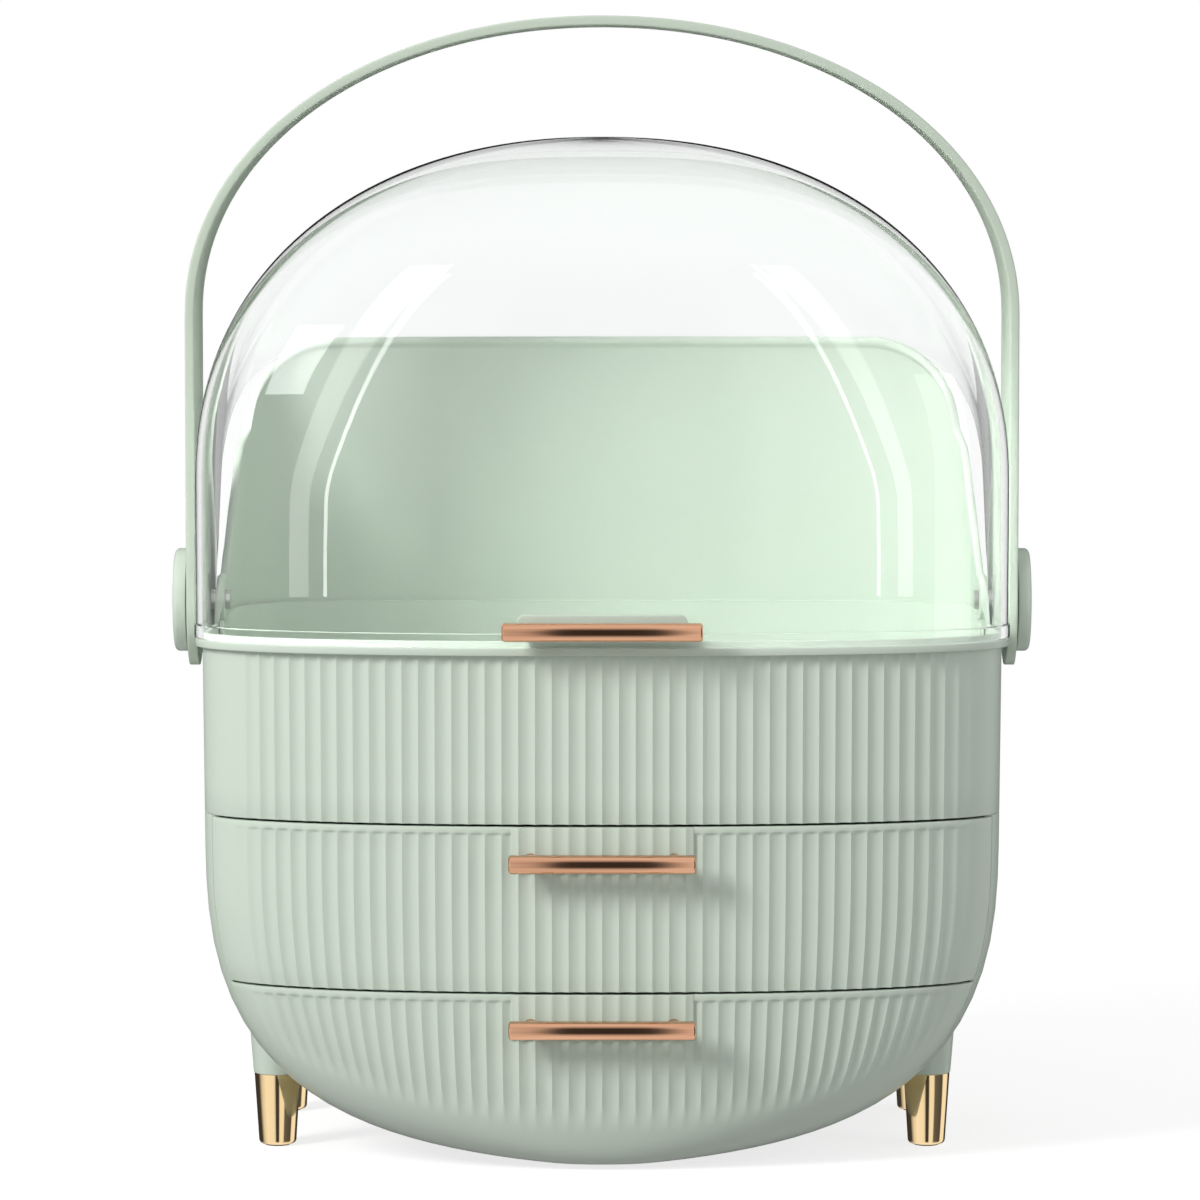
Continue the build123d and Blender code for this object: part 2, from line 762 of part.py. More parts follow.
def screw_holes(z, front, rear):
    """Clearance for the two pull screws through the walls behind a bar."""
    holes = []
    for side in (-1, 1):
        hole = Pos(side * post_spacing / 2, (front + rear) / 2, z) * Rot(90, 0, 0)
        holes.append(hole * Cylinder(screw_radius, rear - front))
    return Compound(holes)


def make_drawer(name, front, skin_floor, box, bar_z):
    """Saves one drawer: box, front, base plate, bar and screws."""
    top = front[0][0]
    post_y = front_y(post_spacing / 2, front_plan(bar_z))
    face_y = front_face_y(bar_z) - base_raise
    inner_y = post_y + front_wall + box_gap + box_wall + screw_pad
    low = top - base_drop
    block = Solid.make_loft([smooth_outline(z, z, -base_raise) for z in (low, top)], ruled=True)
    plate = block & slab(low, top, rear=face_y + base_back, half=base_half_width)
    plate = plate - front_block(front)
    plate = plate.solids().sort_by(lambda s: s.volume)[-1]
    skin = drawer_front(front, skin_floor)
    tub = drawer_box(box["low"], box["top"], box["half"], box["rear"], box["lift"])
    holes = screw_holes(bar_z, face_y - past, inner_y + past)
    pads = []
    for side in (-1, 1):
        pad = Pos(side * post_spacing / 2, (post_y + front_wall + inner_y) / 2, bar_z) * Rot(90, 0, 0)
        pads.append(pad * Cylinder(screw_head_radius + screw_pad_rim, inner_y - post_y - front_wall))
    tub = tub + (Compound(pads) - skin)
    save(skin - holes, name + "_front")
    save(tub - holes, name + "_box")
    save(plate - holes, name + "_pull_base")
    save(pull_bar(drawer_bar_length, bar_z, face_y, bar_standoff), name + "_pull_bar")
    save(pull_screws(bar_z, face_y, inner_y), name + "_pull_screws")


def make_lid_pull():
    """Saves the lid's pull: a rounded base tab, the bar and its screws; returns the holes."""
    face_y = -lid_pull_face
    skin = lid_outer + lid_lip_thickness
    block = dome_solid(skin + lid_base_thickness, lid_top + lid_base_thickness, lid_base_bottom)
    outline = RectangleRounded(2 * lid_base_half_width, lid_base_top - lid_base_bottom, lid_base_round)
    outline = Plane.XZ * (Pos(0, (lid_base_bottom + lid_base_top) / 2) * outline)
    tab = block & extrude(outline, trim_reach, both=True)
    tab = tab & slab(lid_base_bottom, lid_base_top, rear=-front_side_start)
    tab = tab - dome_solid(lid_outer, lid_top, lid_base_bottom - past)
    lip = dome_solid(skin, lid_top, lid_bottom)
    tab = tab - (lip & slab(lid_bottom, lid_bottom + lid_lip_height, rear=lid_lip_end))
    inside = (body_half_width + lid_gap, front_side_start, front_reach + lid_gap)
    inner_y = front_y(post_spacing / 2, inside) + lid_screw_stand
    holes = screw_holes(lid_bar_z, face_y - past, inner_y + past)
    save(tab - holes, "lid_pull_base")
    save(pull_bar(lid_bar_length, lid_bar_z, face_y, lid_bar_standoff), "lid_pull_bar")
    save(pull_screws(lid_bar_z, face_y, inner_y), "lid_pull_screws")
    return holes


save(make_casing(), "casing")
save(make_tray(), "upper_tray")
save(make_back_wall(), "back_wall")

tray_screws = []
for side in (-1, 1):
    for y in tray_screw_y:
        tray_screws.append(screw_down(side * tray_screw_x, y, tray_bottom + wall, tray_screw_length))
save(Compound(tray_screws), "tray_screws")

pivots = {side: make_pivot(side) for side in (-1, 1)}
for part, node in (("pin", "pivot_pins"), ("lid_washer", "lid_washers"),
                   ("handle_washer", "handle_washers"), ("screw", "pivot_screws")):
    save(Compound([pivots[side][part] for side in (-1, 1)]), node)
save(pivots[-1]["cap"], "pivot_cap_left")
save(pivots[1]["cap"], "pivot_cap_right")

pads = []
studs = []
for end, y in (("front", front_leg_y), ("rear", rear_leg_y)):
    for hand, side in (("left", -1), ("right", 1)):
        leg = make_leg(side * leg_x, y)
        save(leg["stem"], "leg_stem_" + end + "_" + hand)
        save(leg["cap"], "foot_cap_" + end + "_" + hand)
        pads.append(leg["pad"])
        studs.append(leg["stud"])
save(Compound(pads), "foot_pads")
save(Compound(studs), "leg_studs")



def front_levels(top, low):
    """Levels of a drawer front from its top down: a plain band, then the flutes."""
    band = top - top_band
    rest = [(z, False) for z in reversed(levels_between(low, band - band_step))]
    return [(top, True), (band, True)] + rest


upper_top = upper_seam - seam_gap / 2
lower_top = lower_seam - seam_gap / 2
upper_floor = lower_seam + shelf / 2 + rib_height + slide_gap
upper_box = {
    "low": upper_floor,
    "top": upper_seam - upper_box_headroom,
    "half": body_half_width - upper_box_side_room,
    "rear": rear_reach - upper_box_rear_room,
    "lift": 0.0,
}
lower_box = {
    "low": lower_box_floor,
    "top": lower_seam - lower_box_headroom,
    "half": body_half_width - lower_box_side_room,
    "rear": rear_reach - lower_box_rear_room,
    "lift": front_wall + box_gap,
}
upper_front = front_levels(upper_top, lower_seam + seam_gap / 2)
lower_front = front_levels(lower_top, bowl_bottom + front_bottom_rise)
make_drawer("upper_drawer", upper_front, None, upper_box, upper_seam - upper_bar_drop)
make_drawer("lower_drawer", lower_front, bowl_bottom + front_wall, lower_box, lower_seam - lower_bar_drop)

lid_holes = make_lid_pull()
save(make_lid() - lid_holes, "lid_dome")
save(make_handle(), "carry_handle")
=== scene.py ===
"""The looks of the egg-shaped vanity organizer: fluted sage plastic body with two drawers,
clear lid, strap handle and warm metal bars and feet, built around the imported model.

Shapes are worked out in millimetres about the pivot axis (y = 0 is the pivot plane),
as in the source of the model, and placed in metres by place()."""

import json
import math

import bpy
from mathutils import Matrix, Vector


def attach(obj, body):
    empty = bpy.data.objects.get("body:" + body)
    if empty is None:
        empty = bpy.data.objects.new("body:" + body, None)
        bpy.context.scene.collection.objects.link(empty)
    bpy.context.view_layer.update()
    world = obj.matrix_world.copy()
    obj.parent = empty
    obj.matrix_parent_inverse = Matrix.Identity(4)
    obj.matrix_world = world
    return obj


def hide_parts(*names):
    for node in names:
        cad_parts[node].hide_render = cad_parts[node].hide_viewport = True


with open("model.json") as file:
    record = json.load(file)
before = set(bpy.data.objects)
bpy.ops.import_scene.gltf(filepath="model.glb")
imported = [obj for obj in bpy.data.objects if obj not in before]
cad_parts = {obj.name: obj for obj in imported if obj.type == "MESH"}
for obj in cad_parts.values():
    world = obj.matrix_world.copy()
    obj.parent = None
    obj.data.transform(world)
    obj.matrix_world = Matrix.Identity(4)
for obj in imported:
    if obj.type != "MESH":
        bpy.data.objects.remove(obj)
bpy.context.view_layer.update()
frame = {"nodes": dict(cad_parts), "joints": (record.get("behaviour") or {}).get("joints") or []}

MM = 0.001
joints = {joint["name"]: joint for joint in frame["joints"]}
pivot_y, pivot_z = [metres / MM for metres in joints["lid_swing"]["pos_m"][1:]]

# Body
body_half_width = 148.0
bowl_bottom = 1.0
waist_height = 120.0
bowl_power = 2.77
side_taper = 0.009
rim_top = 193.3
rim_thickness = 3.0
rim_overhang = 2.6
wall = 2.5
front_reach = 92.5
front_side_start = 45.0
front_power = 2.3
rear_reach = 92.5
rear_side_start = 20.0
rear_power = 5.0
rear_inset = 0.3
heel_height = 80.0
heel_depth = 18.0
heel_power = 3.4
upper_seam = 128.1
lower_seam = 66.7
seam_gap = 0.8
parting_y = -58.0
parting_gap = 0.5
front_wall = 3.0
bowl_floor = 2.0
top_band = 2.0
flute_pitch = 6.1
flute_end_room = 0.5
flute_depth = 0.9
flute_edge = body_half_width - 11.0
flute_foot = 14.0
flute_foot_rise = 26.0
flute_fade = 12.0
flute_steps = 10
ridge_softness = 0.06
seat_rise = 2.2
rim_end_y = -12.0

# Boxes and shelf
shelf = 2.0
box_wall = 2.0
box_gap = 0.4
box_floor = 2.0
box_round = 3.0
rib_height = 1.5
slide_gap = 0.3
rib_half = 1.5
rib_sink = 0.3
rib_front = -54.0
rib_rear = 58.0
low_rib_x = 30.0
shelf_rib_x = 90.0
casing_floor = 5.2
lower_box_bottom = 7.0
upper_box_room = (6.1, 17.0, 14.5)
lower_box_room = (6.7, 38.0, 24.5)
screw_post_x = 139.4
screw_post_places = (-38.0, 30.0)
screw_post_depth = 20.0
screw_post_radius = 4.6
screw_post_hole = (1.6, 10.0)
web_half = 2.6

# Lid and back wall
lid_gap = 0.4
lid_wall = 2.0
lid_crown_wall = 4.0
lid_last_turn = 89.3
lid_turn_steps = 44
lid_seat_gap = 0.2
lid_shoulder = rim_top + 57.3
lid_top = rim_top + 184.6
lid_power = 2.2
lid_lip_height = 5.0
lid_lip_thickness = 0.6
lid_edge_lap = 5.0
lid_edge_share = 0.1
ear_radius = 10.0
back_top = rim_top + 107.7
back_side_lean = 0.09
back_rear_lean = 0.06
back_corner_radius = 32.0
back_top_half_width = body_half_width - 9.5
back_edge_slope = 0.82
back_edge_round = 0.9
back_bead_drop = 5.0
tongue_depth = 15.0
tongue_thickness = 2.0
boss_radius = 9.0
boss_inset = 5.0
boss_reach = 3.6

# Handle
strap_inner_x = body_half_width + lid_gap + lid_wall + 1.5
strap_thickness = 3.6
strap_half_depth = 24.6
handle_spring_z = pivot_z + 107.6
handle_top = lid_top + 44.9
handle_power = 2.06
strap_round = 0.7

# Pulls
bar_height = 6.8
bar_depth = 4.6
bar_flat = 2.0
bar_bevel = 0.7
drawer_bar_length = 68.0
lid_bar_length = 72.6
bar_standoff = 6.5
lid_bar_standoff = 5.0
post_radius = 2.6
post_spacing = 52.0
base_half_width = 33.3
base_raise = 1.0
plate_flute_depth = 0.8
base_drop = 16.5
base_sink = 1.2
upper_bar_drop = 12.9
lower_bar_drop = 12.2
lid_bar_rise = 6.4
lid_base_half_width = 31.0
lid_base_top_rise = 12.2
lid_base_low_rise = 2.9
lid_base_round = 3.0
lid_base_thickness = 1.6

# Legs and pivots
foot_height = 27.5
foot_top_radius = 8.65
foot_bottom_radius = 7.0
foot_round = 1.6
pad_radius = 4.6
pad_stand = 0.5
stem_radius = 8.9
stem_flare = 0.08
stem_top = 60.0
leg_side_inset = 26.0
front_leg_inset = 67.5
rear_leg_inset = 37.5
turn_steps = 72
hands = (("left", -1), ("right", 1))
cap_radius = 19.4
cap_thickness = 4.9
cap_round = 1.8
cap_gap = 0.7

# Camera: where it stands, how far it looks down, and its lens
camera_x = -0.78
camera_y = -2247.0
camera_z = 379.9
camera_pitch = 4.492
camera_lens = 178.94
sensor = 36.0

# Studio, in metres: the lamps as (name, place, size, power); the bands that shiny pieces see as
# (angle from the camera's side, level); the soft boxes, which arch over the object, as (name, angle,
# how far that changes at the foot, width, strength)
world_light = 0.52
under_lid_share = 0.1
studio_lamps = (("key", (-1.45, -1.2, 1.3), (0.6, 0.8), 34.5), ("fill", (1.7, -0.9, 0.5), (0.8, 1.2), 5.0))
studio_centre = (0, 0, 0.2)
studio_bands = ((-180, 0.04), (-106, 0.05), (-84, 0.75), (-60, 1.0), (-20, 0.95), (-11, 0.7), (-7, 0.05),
                (9, 0.05), (14, 0.95), (36, 0.95), (42, 0.14), (86, 0.08), (92, 1.0), (122, 1.0), (132, 0.05),
                (180, 0.04))
studio_strips = (("strip_left", -31, -9, 0.26, 3.0), ("strip_left_thin", -25, -8, 0.035, 8.0),
                 ("strip_right", 31, 9, 0.20, 2.6), ("strip_right_thin", 25, 8, 0.03, 7.0))
band_fade = (0.4, 0.85)
strip_away = 2.6
strip_foot = -4.0
strip_end = 58.0
strip_bend = 18.0
floor_radius = 0.9
floor_tone = 0.36
floor_glow = 0.76
floor_fade = (0.25, 0.6)

tray_bottom = upper_seam + seam_gap / 2
rim_bottom = rim_top - rim_thickness
lid_bottom = rim_top + lid_seat_gap
lid_outer = lid_gap + lid_wall


def place(x, y, z):
    """Millimetres about the pivot axis to metres in the frame."""
    return (x * MM, (y + pivot_y) * MM, z * MM)


def circle(steps):
    """Even turns round a circle."""
    return [2 * math.pi * k / steps for k in range(steps)]


def mirrored(half, first=0):
    """Columns of the right half as (column, 1), then the left half's in reverse as (column, -1).
    first is 1 for a row that closes on itself."""
    return [(column, 1) for column in half] + [(column, -1) for column in reversed(half[first:-1])]


# Materials


def feed(tree, node, inputs):
    """Sets a node's inputs, and links those that are given an output."""
    for name, value in inputs.items():
        if isinstance(value, bpy.types.NodeSocket):
            tree.links.new(value, node.inputs[name])
        else:
            node.inputs[name].default_value = value


def add_node(tree, kind, inputs=None, operation=None):
    """A new shader node with its inputs and operation; returns its outputs."""
    made = tree.nodes.new("ShaderNode" + kind)
    if operation:
        made.operation = operation
    feed(tree, made, inputs or {})
    return made.outputs


def calculate(tree, operation, *values):
    """Output of a Math node."""
    return add_node(tree, "Math", dict(enumerate(values)), operation)[0]


def remap(tree, value, ends, low, high):
    """Output of a Map Range node with its From or its To ends set."""
    return add_node(tree, "MapRange", {"Value": value, ends + " Min": low, ends + " Max": high})["Result"]


def mix_colours(tree, share, first, second):
    """Output that goes from the first colour to the second by a share."""
    made = tree.nodes.new("ShaderNodeMix")
    made.data_type = "RGBA"
    feed(tree, made, {"Factor": share, "A": first, "B": second})
    return made.outputs["Result"]


def mix_shaders(tree, share, first, second):
    """Output that goes from the first shader to the second by a share."""
    return add_node(tree, "MixShader", {"Fac": share, 1: first, 2: second})[0]


def new_material(name):
    """A node material with its Principled shader."""
    material = bpy.data.materials.new(name)
    material.use_nodes = True
    return material, material.node_tree, material.node_tree.nodes["Principled BSDF"]


def two_tones(tree, shader, pattern, light, dark, low, high):
    """Colour and roughness of a shader that follow a pattern between two tones."""
    feed(tree, shader, {"Base Color": mix_colours(tree, pattern, (*light, 1), (*dark, 1)),
                        "Roughness": remap(tree, pattern, "To", low, high)})


def noise(tree, spot, scale, detail=2.0):
    """Output of a soft cloud pattern."""
    return add_node(tree, "TexNoise", {"Vector": spot, "Scale": scale, "Detail": detail})["Fac"]


def uneven(tree, shader, pattern, strength, distance):
    """A slight waviness of the surface."""
    bump = add_node(tree, "Bump", {"Height": pattern, "Strength": strength, "Distance": distance})
    feed(tree, shader, {"Normal": bump["Normal"]})


def plastic(name, light, dark, roughness, grain=0.0002):
    """Moulded plastic: two close tones in soft clouds, and a faint waviness of the surface."""
    material, tree, shader = new_material(name)
    spot = add_node(tree, "TexCoord")["Object"]
    two_tones(tree, shader, noise(tree, spot, 9.0, 3.0), light, dark, roughness - 0.03, roughness + 0.05)
    uneven(tree, shader, noise(tree, spot, 90.0, 1.0), 0.03, grain)
    return material


def metal(name, colour, dark, roughness, streak):
    """Plated metal in two tones over a cloud pattern that the streak scale can stretch along X; the dark tone
    can stand in for painted reflection.
    """
    material, tree, shader = new_material(name)
    spot = add_node(tree, "TexCoord")["Object"]
    spot = add_node(tree, "Mapping", {"Vector": spot, "Scale": streak})["Vector"]
    two_tones(tree, shader, noise(tree, spot, 100.0, 3.0), colour, dark, roughness * 0.8, roughness * 1.3)
    shader.inputs["Metallic"].default_value = 1.0
    return material


def clear_acrylic(name):
    """Clear moulded acrylic that lets lamps through to what is inside."""
    material, tree, shader = new_material(name)
    feed(tree, shader, {"Base Color": (0.985, 0.995, 0.99, 1), "Roughness": 0.0, "IOR": 1.45,
                        "Transmission Weight": 1.0})
    uneven(tree, shader, noise(tree, add_node(tree, "TexCoord")["Object"], 14.0), 0.02, 0.0005)
    shadow = add_node(tree, "LightPath")["Is Shadow Ray"]
    through = add_node(tree, "BsdfTransparent", {"Color": (0.97, 0.98, 0.975, 1)})[0]
    surface = mix_shaders(tree, shadow, shader.outputs[0], through)
    feed(tree, tree.nodes["Material Output"], {"Surface": surface})
    return material


sage_light = (0.60, 0.685, 0.59)
sage_dark = (0.575, 0.66, 0.565)
body_plastic = plastic("sage_plastic", sage_light, sage_dark, 0.34)
drawer_plastic = plastic("sage_drawer_plastic", sage_light, sage_dark, 0.34)
handle_plastic = plastic("sage_handle_plastic", (0.56, 0.64, 0.54), (0.53, 0.615, 0.51), 0.36)
box_plastic = plastic("sage_box_plastic", (0.62, 0.70, 0.61), (0.60, 0.68, 0.59), 0.42)
washer_plastic = plastic("washer_plastic", (0.86, 0.87, 0.85), (0.82, 0.83, 0.81), 0.4)
pad_rubber = plastic("pad_rubber", (0.10, 0.10, 0.10), (0.07, 0.07, 0.07), 0.75, grain=0.0004)
# Rose gold streaks along the bars are partly drawn grain, but the dark tone is deep enough to be a painted
# reflection of dark brown studio bands.
rose_gold = metal("rose_gold", (0.86, 0.50, 0.32), (0.52, 0.26, 0.15), 0.10, (0.15, 10, 10))
gold = metal("gold", (0.98, 0.75, 0.43), (0.95, 0.70, 0.38), 0.08, (1, 1, 1))
steel = metal("steel", (0.62, 0.62, 0.60), (0.52, 0.52, 0.51), 0.28, (1, 1, 1))
acrylic = clear_acrylic("clear_acrylic")


# Meshes


def new_object(name, points, faces, material):
    """A mesh object in the scene; its points are in metres."""
    mesh = bpy.data.meshes.new(name)
    mesh.from_pydata(points, [], faces)
    mesh.materials.append(material)
    made = bpy.data.objects.new(name, mesh)
    bpy.context.scene.collection.objects.link(made)
    return made


def smooth(mesh, sharp):
    """Smooth shading with edges left sharp over an angle in degrees."""
    for polygon in mesh.polygons:
        polygon.use_smooth = True
    mesh.set_sharp_from_angle(angle=math.radians(sharp))


def piece(name, b, material, body, node, sharp=38.0):
    """A mesh piece that rides on a body, takes a slot's finish and stands for a CAD node."""
    made = new_object(name, [place(*p) for p in b.points], b.faces, material)
    made.data.validate()
    smooth(made.data, sharp)
    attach(made, body)
    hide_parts(node)


class Build:
    """Points and faces of one mesh as it grows."""

    def __init__(self):
        self.points = []
        self.faces = []

    def row(self, points):
        """Adds a row of points and returns their numbers."""
        first = len(self.points)
        self.points.extend(points)
        return list(range(first, first + len(points)))

    def strip(self, a, b, closed):
        """Quads between two rows of equal length."""
        count = len(a)
        for i in range(count if closed else count - 1):
            j = (i + 1) % count
            self.faces.append((a[i], a[j], b[j], b[i]))

    def fill(self, row, flip=False):
        """One face over a closed row."""
        self.faces.append(tuple(reversed(row)) if flip else tuple(row))

    def strips(self, rows, closed, flip=False):
        """Quads through all numbered rows."""
        for a, b in zip(rows, rows[1:]):
            self.strip(*((b, a) if flip else (a, b)), closed)

    def skin(self, rows):
        """A closed skin through all rows, filled at its first and last row."""
        numbered = [self.row(points) for points in rows]
        self.strips(numbered, True)
        self.fill(numbered[0], flip=True)
        self.fill(numbered[-1])


def round_share(drop, power):
    """Width left at a given share of the way down a superellipse."""
    return max(1 - drop ** power, 0.0) ** (1 / power)


def half_width(z):
    """Half the body's width at a height, seen from the front."""
    share = 1.0
    if z < waist_height:
        share = round_share((waist_height - z) / (waist_height - bowl_bottom), bowl_power)
    return body_half_width * share - side_taper * (rim_top - z) * min(1.0, share * 4)


def heel(z):
    """How far the front and the rear draw in at a height, seen from the side."""
    if z >= heel_height:
        return 0.0
    drop = (heel_height - z) / (heel_height - bowl_bottom)
    return heel_depth * (1 - round_share(drop, heel_power))


class Plan:
    """The body's plan outline at a level, drawn in by inset."""

    def __init__(self, level, inset=0.0):
        level = max(level, bowl_bottom + 0.02)
        self.reach = front_reach - heel(level)
        self.start = front_side_start * self.reach / front_reach
        self.reach -= inset
        self.width = max(half_width(level) - inset, 2.0)
        self.rear = rear_reach - heel(level) - inset - rear_inset
        self.rear_start = rear_side_start * self.rear / rear_reach

    def front_y(self, x):
        """Place on the front curve at a distance from the middle."""
        share = round_share(min(abs(x) / self.width, 1.0), front_power)
        return -self.start - (self.reach - self.start) * share

    def front_x(self, y):
        """Distance from the middle at which the front curve passes y."""
        drop = min(max((-y - self.start) / (self.reach - self.start), 0.0), 1.0)
        return self.width * round_share(drop, front_power)

    def rear_y(self, x):
        """Place on the rear curve at a distance from the middle."""
        share = round_share(min(abs(x) / self.width, 1.0), rear_power)
        return self.rear_start + (self.rear - self.rear_start) * share


def corner(width, start, reach, power, degrees):
    """Point on a superellipse quarter at an even turn, as (x, y)."""
    c = math.cos(math.radians(degrees))
    s = math.sin(math.radians(degrees))
    far = (abs(c) ** power + abs(s) ** power) ** (-1 / power)
    return width * c * far, start + (reach - start) * s * far


def ridge_places():
    """Distances of the flute ridges from the middle at the rim, at a steady pitch."""
    plan = Plan(rim_bottom)
    last = plan.front_x(parting_y - parting_gap) - flute_end_room
    places = [0.0]
    travelled = 0.0
    step = 0.05
    x = 0.0
    while x < last:
        rise = plan.front_y(x + step) - plan.front_y(x)
        travelled += math.hypot(step, rise)
        x += step
        if travelled >= flute_pitch * len(places):
            places.append(x)
    return [-r for r in reversed(places[1:])] + places


ridges = ridge_places()
front_end_y = parting_y - parting_gap
end_above = Plan(rim_bottom).front_x(parting_y)


def ridge_x(ridge, plan):
    """Where a ridge stands: upright in the middle, leaning in at the sides."""
    share = min(plan.front_x(front_end_y) / end_above, 1.0)
    if share > 0.999:
        return ridge * share
    power = min(2.0, 0.8 * share / (1 - share))
    return ridge * (1 - (1 - share) * (abs(ridge) / end_above) ** power)


def groove_depth(ridge, z):
    """Depth of a groove at a height; it fades at the sides and under the bowl."""
    foot = flute_foot + flute_foot_rise * (ridge / flute_edge) ** 2
    up = min(max((z - foot) / flute_fade, 0.0), 1.0)
    inward = min(max((flute_edge - abs(ridge)) / flute_fade, 0.0), 1.0)
    up = up * up * (3 - 2 * up)
    return flute_depth * up * inward


def dip(depth, u):
    """How far a groove goes in at a share of its width, between softened ridges."""
    return math.hypot(depth * 4 * u * (1 - u), ridge_softness) - ridge_softness


def fluted_row(z, depth_share=1.0, outset=0.0):
    """Points along the fluted front from the left parting to the right, as (x, y, z)."""
    plan = Plan(z)
    end = plan.front_x(front_end_y)
    places = [-end] + [ridge_x(r, plan) for r in ridges] + [end]
    depths = [groove_depth((a + c) / 2, z) * depth_share for a, c in zip(ridges, ridges[1:])]
    row = []
    for a, c, depth in zip(places, places[1:], [0.0] + depths + [0.0]):
        for k in range(flute_steps):
            u = k / flute_steps
            x = a + (c - a) * u
            y = plan.front_y(x)
            step = 0.2 if x < 0 else -0.2
            rise = (plan.front_y(x + step) - y) / step
            length = math.hypot(1.0, rise)
            shift = dip(depth, u) - outset
            row.append((x - rise / length * shift, y + shift / length, z))
    row.append((end, plan.front_y(end), z))
    return row


def plain_row(z, level, inset):
    """Points along the inside of the front, at the same shares of its width as the outside."""
    plan = Plan(level, inset)
    end = plan.front_x(front_end_y)
    return [(end * share, plan.front_y(end * share), z) for share in shares]


full_front = fluted_row(rim_bottom, 0.0)
shares = [x / full_front[-1][0] for x, y, z in full_front]


def side_row(z, level, inset, from_y):
    """Points from the right parting round the rear to the left parting, as (x, y, z)."""
    plan = Plan(level, inset)
    front = max(from_y, -plan.reach)
    right = []
    for k in range(8):
        y = front + (-plan.start - front) * k / 8
        right.append((plan.front_x(y), y))
    stations = [-plan.start * (1 - k / 6) + (rim_end_y - 0.4) * k / 6 for k in range(6)]
    stations += [rim_end_y - 0.4, rim_end_y + 0.4]
    stations += [rim_end_y + 0.4 + (plan.rear_start - rim_end_y - 0.4) * k / 6 for k in range(1, 6)]
    right += [(plan.width, y) for y in stations]
    for k in range(31):
        right.append(corner(plan.width, plan.rear_start, plan.rear, rear_power, 3 * k))
    left = [(-x, y) for x, y in reversed(right[:-1])]
    return [(x, y, z) for x, y in right + left]


def tray_row(z, outset, flutes, rim=0.0):
    """Closed row round the tray: fluted or plain front, then sides and rear."""
    flange = outset + rim
    front = fluted_row(z, flutes, flange)
    full = side_row(z, z, -flange, front_end_y)
    bare = side_row(z, z, -outset, front_end_y)
    rest = [f if f[1] < rim_end_y else b for f, b in zip(full, bare)]
    return front[:-1] + rest[:-1]


def make_tray():
    """Upper tray: fluted front, smooth sides, rim and seat for the lid, and floor."""
    b = Build()
    low = tray_bottom
    edge = ((0.02, -0.45), (0.15, -0.12), (0.45, 0.0))
    rows = [tray_row(low + rise, outset, 1.0) for rise, outset in edge]
    rows += [tray_row(low + (rim_bottom - low) * k / 6, 0.0, 1.0) for k in range(1, 6)]
    rows += [tray_row(rim_bottom - 0.35, 0.0, 1.0), tray_row(rim_bottom - 0.02, 0.1, 0.4, 0.3)]
    flange = ((rim_bottom, 0.35), (rim_bottom + 0.12, 0.1), (rim_bottom + 0.4, 0.0), (rim_top - 0.75, 0.0),
              (rim_top - 0.3, 0.15), (rim_top - 0.05, 0.6), (rim_top, 0.9))
    rows += [tray_row(z, 0.0, 0.0, rim_overhang - inset) for z, inset in flange]
    shift = -lid_gap - 0.02
    raised = ((0.02, shift), (seat_rise - 0.3, shift), (seat_rise - 0.05, shift - 0.25),
              (seat_rise, shift - 0.5), (seat_rise, -wall + 0.4), (seat_rise - 0.1, -wall + 0.1),
              (seat_rise - 0.4, -wall))
    for rise, outset in raised:
        tall = tray_row(rim_top + rise, outset, 0.0)
        flat = rim_top + 0.002 * rise + 0.001
        rows.append([(x, y, z if y < rim_end_y else flat) for x, y, z in tall])
    floor = tray_bottom + wall
    rows += [tray_row(rim_top - 4, -wall, 0.0), tray_row(floor + 2.0, -wall, 0.0)]
    rows += [tray_row(floor + 0.6, -wall - 0.6, 0.0), tray_row(floor, -wall - 2.0, 0.0)]
    b.skin(rows)
    piece("tray_shell", b, body_plastic, "root", "upper_tray")


def open_shell(b, outer, inner, has_floor):
    """Faces of a bowed shell between its outer and inner rows, with square ends."""
    b.strips(outer, False)
    b.strips(inner, False, flip=True)
    b.strip(outer[-1], inner[-1], False)
    if has_floor:
        b.fill(outer[0], flip=True)
        b.fill(inner[0])
        b.faces.append((outer[0][0], inner[0][0], inner[0][-1], outer[0][-1]))
    else:
        b.strip(inner[0], outer[0], False)
    for end in (0, -1):
        for (o, i), (p, j) in zip(zip(outer, inner), zip(outer[1:], inner[1:])):
            face = (o[end], p[end], j[end], i[end])
            b.faces.append(face if end == 0 else tuple(reversed(face)))


def front_shell(name, levels, inner_lift, body):
    """Fluted drawer front. levels are (z, depth share, outset); inner_lift raises the inside."""
    b = Build()
    outer = [b.row(fluted_row(z, share, outset)) for z, share, outset in levels]
    low = levels[0][0]
    high = levels[-1][0]
    floor = low + inner_lift
    inner = []
    for z, share, outset in levels:
        height = max(floor + (z - low) / (high - low) * (high - floor), floor)
        inner.append(b.row(plain_row(height, height - inner_lift, front_wall)))
    open_shell(b, outer, inner, inner_lift > 0)
    piece(name, b, drawer_plastic, body, body + "_front")


def front_levels(low, high, count, bottom_outsets):
    """Rows of a drawer front: bottom edge, flutes, a plain band and a rounded top edge."""
    rows = [(low + z, share, outset) for z, share, outset in bottom_outsets]
    first = rows[-1][0]
    band = high - top_band
    rows += [(first + (band - 1.4 - first) * k / count, 1.0, 0.0) for k in range(1, count + 1)]
    rows += [(band - 1.0, 0.9, 0.0), (band - 0.6, 0.6, 0.0), (band - 0.25, 0.2, 0.0), (band, 0.0, 0.0)]
    rows += [(high - 0.45, 0.0, 0.0), (high - 0.13, 0.0, -0.12), (high, 0.0, -0.42)]
    return rows


